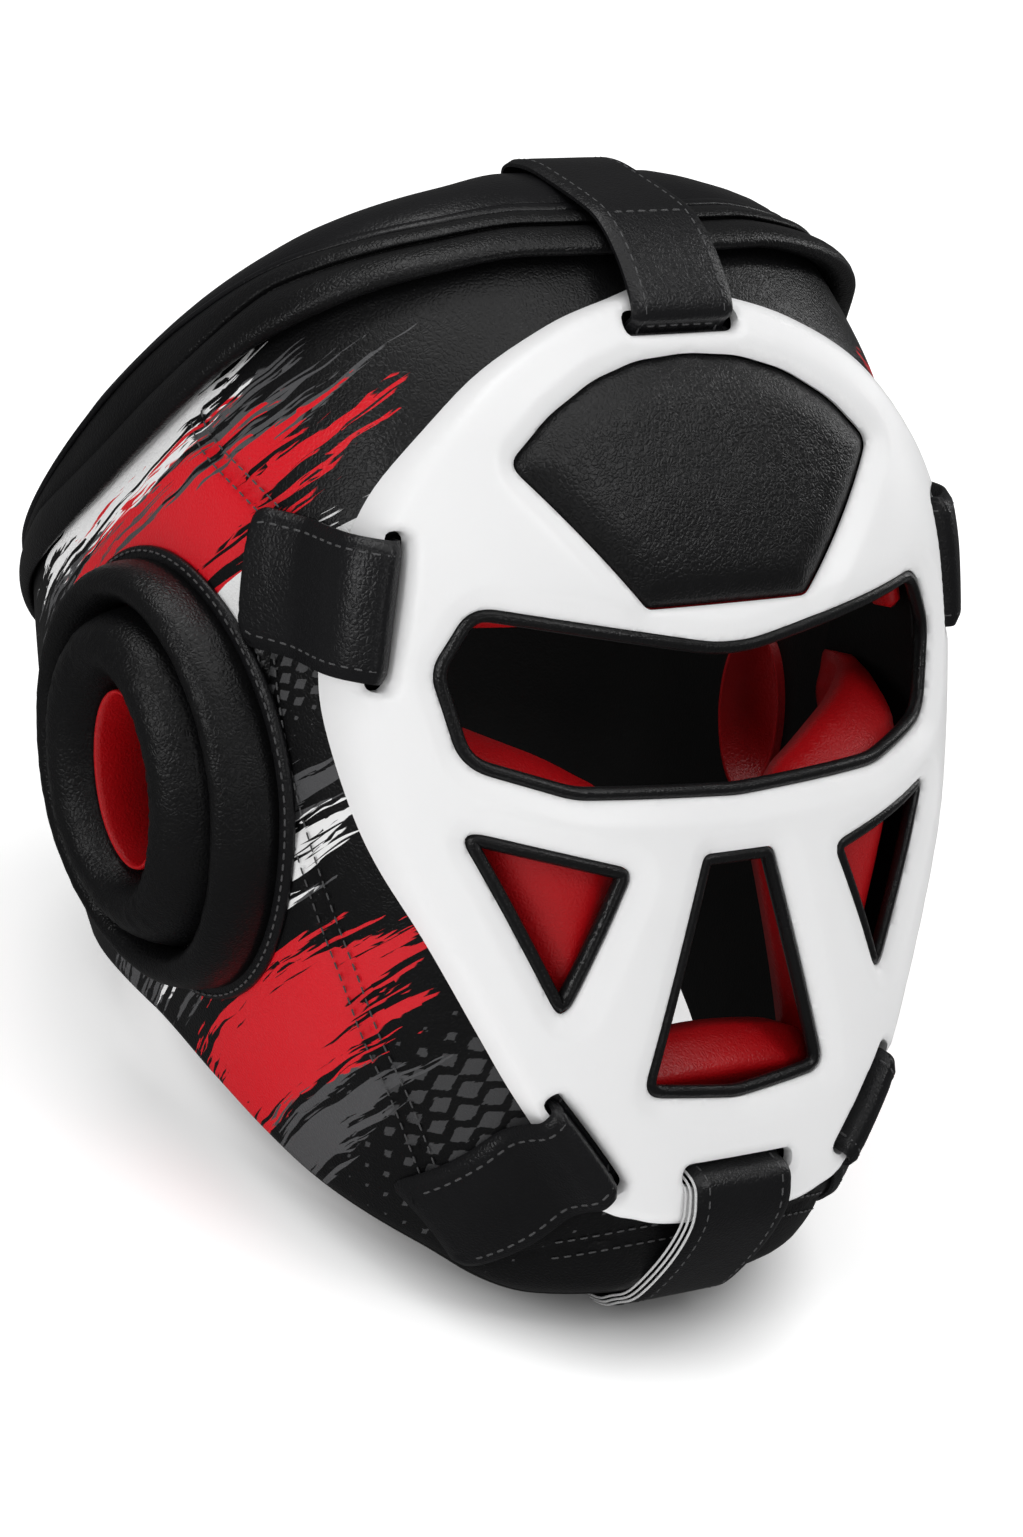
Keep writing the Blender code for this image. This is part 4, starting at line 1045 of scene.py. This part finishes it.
def make_trim(name, loop, node):
    """Soft leather bead inside an opening."""
    radius = EDGING_RADIUS
    path = inset(loop, radius - 0.2 * MM)
    across = -beside(unit(np.roll(path, -1, axis=0) - np.roll(path, 1, axis=0)))
    count = 12
    points = []
    for spot, aside in zip(path, across):
        turns = 2 * math.pi * np.arange(count) / count
        at = spot + aside * radius * np.cos(turns)[:, None]
        points.append(front_points(at[:, 0], at[:, 1], EDGING_OUT + radius * 1.1 * np.sin(turns)))
    add_piece(name, np.array(points), ring_faces(len(path), count), EDGING, [node], slot="black_edging")


def dome(rise, width, front, power=2.2):
    """Height of a pad that bulges away from its edges."""
    def height(spots, gaps):
        share = np.clip(gaps[0] / width, 0, 1)
        return front - rise * (1 - share) ** power
    return height


def level(out):
    def height(spots, gaps):
        return np.full(len(spots), out)
    return height


loops = make_grill()
for trim_name, trim_node in (("eye", "eye_trim"), ("mouth", "mouth_trim"),
                             ("cheek_left", "cheek_trim_left"), ("cheek_right", "cheek_trim_right")):
    make_trim("bead_" + trim_name, loops[trim_name], trim_node)
plate("forehead_panel", inset(loops["window"], 0.4 * MM), [], dome(3.0 * MM, 10 * MM, 6.3 * MM),
      level(0.7 * MM), 2.2 * MM, BLACK_LEATHER, replaces=["brow_panel"], fill=0.5)


def make_pads():
    room = inset(opening(FACE_CORNERS, 1.5 * MM), GAP + 0.2 * MM)
    half = GRILL_HALF
    low = room[:, 1].min()
    rim = room[(room[:, 0] > 0) & (room[:, 1] > low + 2 * MM) & (room[:, 1] < CHEEK_TOP * half)]
    rim = rim[np.argsort(-rim[:, 1])]
    cheek = curved(evened([*rim, *np.array(CHEEK_INNER) * half], 6 * MM), 1.6 * MM)
    puffed = dome(15 * MM, 22 * MM, 0.5 * MM, 2.0)
    for side, word in ((1, "left"), (-1, "right")):
        plate("cheek_cushion_" + word, cheek * np.array([side, 1]), [], puffed, level(PAD_BACK), 2.5 * MM,
              RED_LEATHER, replaces=["cheek_pad_" + word], slot="red_leather", fill=0.8)
    chin = [(-CHIN_HALF, low / half), (CHIN_HALF, low / half), *CHIN_UPPER]
    chin = curved(scaled(chin, half), 1.5 * MM)
    plate("chin_cushion", chin, [], dome(9 * MM, 12 * MM, -1 * MM, 2.0), level(PAD_BACK), 2.0 * MM,
          RED_LEATHER, replaces=["chin_pad"], slot="red_leather", fill=0.8)
    top = room[:, 1].max()
    outer = room[(room[:, 0] >= 0) & (room[:, 1] > BROW_LOW * half)]
    outer = outer[np.lexsort((outer[:, 0], -outer[:, 1]))]
    under = top - BROW_STRIP
    inner = np.stack([np.maximum(outer[:, 0] - BROW_STRIP, 0), np.minimum(outer[:, 1], under)], axis=1)
    right = [(0, top), *outer[outer[:, 0] > 1 * MM], *inner[inner[:, 0] > 1 * MM][::-1], (0, under)]
    loop = right + [(-x, z) for x, z in right[::-1] if x > 0]
    plate("brow_cushion", evened(loop, 2 * MM), [], dome(2 * MM, 3 * MM, -2 * MM), level(BROW_BACK),
          2.5 * MM, RED_LEATHER, replaces=["brow_lining"], slot="red_leather", fill=0.5)


make_pads()


# Straps
STRAP_STEPS = 6                     # sections between two points of a strap's path
STRAP_SEAM = 3.4 * MM               # from the strap's edge to its stitches
STRAP_CORNER = 0.9 * MM
STRAP_STITCH = {"length": 2.3 * MM, "pitch": 3.6 * MM, "thick": 0.36 * MM}
PALE_CORD = 0.34 * MM


def strap(name, path, half_width, place, node, corner=0.0):
    """Strap of two sewn layers from its path on edge; place(u, v, width) gives points in space.

    The corners of its first end are rounded by corner.
    """
    spots = as_rows(bent(path, STRAP_STEPS))
    normal = beside(unit(np.gradient(spots, axis=0)))
    lengths = np.concatenate([[0], np.cumsum(np.linalg.norm(np.diff(spots, axis=0), axis=1))])
    across = 15
    points = []
    sides = {1: [], -1: []}
    for spot, up, at in zip(spots, normal, lengths):
        half = half_width
        if at < corner:
            half -= corner - math.sqrt(max(corner ** 2 - (corner - at) ** 2, 0))
        widths, rises = [], []
        for k in range(across):
            w = -half + 2 * half * k / (across - 1)
            inward = half - abs(w)
            rise = STRAP / 2 - 0.5 * MM * math.exp(-((inward - STRAP_SEAM) / (0.7 * MM)) ** 2)
            rise -= 0.55 * STRAP * max(0, 1 - inward / STRAP_CORNER) ** 2
            widths.append(w)
            rises.append(rise)
        for k in reversed(range(0, across, 2)):
            widths.append(-half + 2 * half * k / (across - 1))
            rises.append(-STRAP / 2)
        widths, rises = np.array(widths), np.array(rises)
        points.append(place(spot[0] + up[0] * rises, spot[1] + up[1] * rises, widths))
        lift = STRAP / 2 - 0.25 * MM
        for side in (1, -1):
            sides[side].append(place(spot[0] + up[0] * lift, spot[1] + up[1] * lift,
                                     np.array([side * (half - STRAP_SEAM)]))[0])
    points = np.array(points)
    faces = ring_faces(len(points), points.shape[1], closed=False)
    add_piece(name, points, faces, STRAP_LEATHER, [node], sharp=60)
    stitches(name + "_stitch", [sides[1][2:-2], sides[-1][2:-2]], **STRAP_STITCH)


def mid_spot(z, out):
    return (float(front_points(0, z, out)[1]), z)


def flat_place(y, z, width):
    y, z, width = np.broadcast_arrays(y, z, width)
    return np.stack([width, y, z], axis=-1)


def make_top_strap():
    crown = float(edge(CROWN_EDGE, 0))
    slot = TOP_SLOT[1]
    over = BINDING_RISE + GAP + STRAP
    lift = GAP + STRAP / 2
    path = [(crown - 26 * MM, -WALL_FRONT - 2.6 * lift), (crown - 15 * MM, -WALL_FRONT - 2.4 * lift)]
    path += [cap_point(0, turn, over) for turn in (175, 140, 105, 70, 40)]
    path += [
        (crown - 5.5 * MM, ROLL_RISE + 1.0 * MM), (crown - 10 * MM, ROLL_RISE + 3.2 * MM),
        (crown - 16 * MM, ROLL_RISE + 3.4 * MM), (slot + 11 * MM, GRILL_OUT + 3.6 * MM),
        (slot + 5 * MM, GRILL_OUT + 2.4 * MM), (slot + 1.4 * MM, GRILL_OUT + 0.4 * MM),
        (slot - 0.6 * MM, GRILL_OUT - 3.5 * MM), (slot - 3.0 * MM, 1.2 * lift), (slot - 6.5 * MM, 1.2 * lift),
    ]
    spots = [mid_spot(z, out) for z, out in path]
    strap("top_band", spots, TOP_STRAP_HALF, flat_place, "top_strap")
    reach = TOP_STRAP_HALF - STRAP_SEAM - 0.1 * MM
    line = as_rows(bent(spots, STRAP_STEPS))
    line += beside(unit(np.gradient(line, axis=0))) * (STRAP / 2)
    widths = np.linspace(-reach, reach, 9)
    rows = [flat_place(*line[int(share * len(line))], widths) for share in (0.50, 0.84)]
    stitches("top_cross_stitch", rows, **STRAP_STITCH)


def make_chin_strap():
    neck = float(edge(NECK_EDGE, 0))
    slot = CHIN_SLOT[1]
    lift = GAP + STRAP / 2
    path = [
        (slot + 12 * MM, lift), (slot + 4.5 * MM, 1.1 * lift), (slot + 1.4 * MM, GRILL_OUT - 5 * MM),
        (slot - 1.2 * MM, GRILL_OUT + 0.2 * MM), (slot - 5 * MM, GRILL_OUT + 2.2 * MM),
        (slot - 13 * MM, GRILL_OUT + 2.0 * MM), (neck + 15 * MM, 5.5 * MM),
    ]
    path += [cap_point(0, turn, 2.6 * lift, crown=False) for turn in (20, 50, 75, 100, 130, 160)]
    path += [(neck + 16 * MM, -WALL_FRONT - 3.0 * lift), (neck + 27 * MM, -WALL_FRONT - 2.8 * lift)]
    spots = [mid_spot(z, out) for z, out in path]
    strap("chin_band", spots, CHIN_STRAP_HALF, flat_place, "chin_strap")
    line = as_rows(bent(spots[2:11], STRAP_STEPS))
    normal = beside(unit(np.gradient(line, axis=0)))
    points, faces = [], []
    turns = [math.pi * k / 4 for k in range(8)]
    for aside, depth in ((15.6 * MM, 0.3 * MM), (16.5 * MM, -0.7 * MM), (17.2 * MM, -1.8 * MM)):
        base = len(points)
        for spot, up in zip(line, normal):
            for turn in turns:
                y, z = spot + up * (depth + PALE_CORD * math.sin(turn))
                points.append((-aside + PALE_CORD * math.cos(turn), y, z))
        cord = ring_faces(len(line), len(turns), closed=False)
        faces += [tuple(base + i for i in face) for face in cord]
    add_piece("chin_edges", points, faces, PALE_EDGE)


def make_temple_strap(side, word):
    lift = 1.2 * (GAP + STRAP / 2)
    top = GRILL_OUT + 1.2 * lift
    arc = 2.25 * MM                 # length of a degree round the temples
    path = [(60.2, lift + 1.4 * MM), (58.2, lift + 0.9 * MM), (55.8, lift + 0.2 * MM),
            (53.2, lift), (51.6, lift + 1.0 * MM), (49.6, lift + 3.6 * MM), (47.2, GRILL_OUT + 0.7 * MM),
            (45.2, top + 0.3 * MM), (43, top + 0.3 * MM), (41.3, top - 0.6 * MM),
            (40.8, GRILL_OUT - 2 * MM), (41.6, GRILL_OUT - 4.2 * MM), (41.2, lift + 0.6 * MM),
            (39.6, lift), (35.6, lift)]

    def place(u, out, width):
        angle = u / arc - 0.05 / MM * width
        rise = 0.33 * MM * (u / arc - 41)
        spot = round_points(angle, TEMPLE_SLOT[1] + width + rise, out)
        return spot * np.array([side, 1, 1])
    strap("temple_band_" + word, [(angle * arc, out) for angle, out in path], TEMPLE_STRAP_HALF, place,
          "temple_strap_" + word, corner=5 * MM)


def make_jaw_strap(side, word):
    lift = 1.3 * (GAP + STRAP / 2)
    top = GRILL_OUT + lift
    lean = math.radians(-JAW_SLOT[4])
    along = np.array((math.cos(lean), math.sin(lean)))
    away = np.array(JAW_STRAP_WAY)
    path = [(35, lift), (28, lift), (20, lift), (12.5, lift), (9.2, lift + 3 * MM), (7.2, top - 1 * MM),
            (4.8, top), (2.2, top - 0.6 * MM), (0.4, GRILL_OUT - 2.2 * MM), (-1.2, lift + 1 * MM),
            (-4, lift), (-10, lift)]

    def place(u, out, width):
        u, out, width = np.broadcast_arrays(u, out, width)
        spot = np.array(JAW_SLOT[:2]) + away * u[..., None] + along * width[..., None]
        return front_points(spot[..., 0], spot[..., 1], out) * np.array([side, 1, 1])
    strap("jaw_band_" + word, [(u * MM, out) for u, out in path], JAW_STRAP_HALF, place,
          "jaw_strap_" + word, corner=3 * MM)


make_top_strap()
make_chin_strap()
for strap_side, strap_word in ((1, "left"), (-1, "right")):
    make_temple_strap(strap_side, strap_word)
    make_jaw_strap(strap_side, strap_word)


# Studio
LIGHT_AIM = (0, 0, 0.12)
LIGHTS = [
    # name, place, size, power in watts
    ("overhead", (0, -0.1, 2.3), (2.2, 2.2), 20),
    ("key", (0.7, -1.3, 2.0), (0.7, 0.7), 8),
    ("crown", (-0.35, 0.75, 1.7), (1.2, 0.4), 7),
    ("ear", (-1.5, -0.35, 0.75), (0.18, 1.0), 6),
    ("brow", (-0.6, -1.7, 0.9), (0.25, 0.9), 2),
    ("far_side", (1.5, 0.1, 0.9), (0.20, 1.2), 5),
]
WORLD_LIGHT = 0.34
WORLD_SEEN = (("Is Glossy Ray", 0.10), ("Is Camera Ray", 1.0))
FLOOR_HALF = 60
PAINTED_SHADE_MIDDLE = -0.02                # y of the middle of the painted shadow under the guard
PAINTED_SHADE_HALF = (0.07, 0.12)
PAINTED_SHADE_EDGE = (0.72, 1.18)           # shares of the half sizes above between which the painted shadow fades
# grey of the painted shadow under the guard, and the floor's white
PAINTED_SHADE_GREY, FLOOR_WHITE = (0.33, 0.33, 0.33, 1), (0.92, 0.92, 0.92, 1)


def area_light(name, place, size, power):
    data = bpy.data.lights.new(name, "AREA")
    data.shape = "RECTANGLE"
    data.size, data.size_y = size
    data.energy = power
    light = bpy.data.objects.new(name, data)
    light.location = place
    light.rotation_euler = (Vector(place) - Vector(LIGHT_AIM)).to_track_quat("Z", "Y").to_euler()
    bpy.context.scene.collection.objects.link(light)


def make_world():
    """Even light that mirrors show dimmer and the camera sees as white."""
    world = bpy.data.worlds.new("studio")
    bpy.context.scene.world = world
    world.use_nodes = True
    tree = world.node_tree
    tree.nodes.clear()

    def glow(strength):
        node = tree.nodes.new("ShaderNodeBackground")
        node.inputs["Strength"].default_value = strength
        return node.outputs[0]
    path = tree.nodes.new("ShaderNodeLightPath")
    shown = glow(WORLD_LIGHT)
    for ray, strength in WORLD_SEEN:
        mix = tree.nodes.new("ShaderNodeMixShader")
        tree.links.new(path.outputs[ray], mix.inputs[0])
        tree.links.new(shown, mix.inputs[1])
        tree.links.new(glow(strength), mix.inputs[2])
        shown = mix.outputs[0]
    out = tree.nodes.new("ShaderNodeOutputWorld")
    tree.links.new(shown, out.inputs["Surface"])


def floor_paint():
    """White and glowing, with a painted shadow that is greyer and glows less under the guard, and brighter
    far away so that no horizon shows.
    """
    nodes = Nodes("floor_paint")

    def length(factors, shift):
        """Length of the place times factors plus shift."""
        moved = nodes.add("VectorMath")
        moved.operation = "MULTIPLY_ADD"
        nodes.tree.links.new(nodes.coordinates(), moved.inputs[0])
        moved.inputs[1].default_value = factors
        moved.inputs[2].default_value = shift
        size = nodes.add("VectorMath")
        size.operation = "LENGTH"
        nodes.tree.links.new(moved.outputs[0], size.inputs[0])
        return size.outputs["Value"]
    # painted shadow: grey colour and less glow within an oval under the guard
    wide, deep = PAINTED_SHADE_HALF
    clear = nodes.ramp(length((1 / wide, 1 / deep, 0), (0, -PAINTED_SHADE_MIDDLE / deep, 0)), *PAINTED_SHADE_EDGE)
    far = nodes.add("MapRange", **{"From Min": 0.6, "From Max": 4.0, "To Min": 0.02, "To Max": 0.4})
    nodes.tree.links.new(length((1, 1, 1), (0, 0, 0)), far.inputs["Value"])
    nodes.put(nodes.shader, "Base Color", nodes.mix(clear, PAINTED_SHADE_GREY, FLOOR_WHITE))
    nodes.put(nodes.shader, "Roughness", 0.9)
    nodes.put(nodes.shader, "Specular IOR Level", 0.0)
    nodes.put(nodes.shader, "Emission Color", (1, 1, 1, 1))
    glow = nodes.math("MULTIPLY_ADD", clear, 0.42, far.outputs["Result"])
    nodes.put(nodes.shader, "Emission Strength", glow)
    return nodes.material


def make_floor():
    mesh = bpy.data.meshes.new("floor")
    corners = [(x * FLOOR_HALF, y * FLOOR_HALF, 0) for x, y in ((-1, -1), (1, -1), (1, 1), (-1, 1))]
    mesh.from_pydata(corners, [], [(0, 1, 2, 3)])
    mesh.materials.append(floor_paint())
    floor = bpy.data.objects.new("floor", mesh)
    floor.visible_glossy = False
    bpy.context.scene.collection.objects.link(floor)


make_world()
make_floor()
for light in LIGHTS:
    area_light(*light)
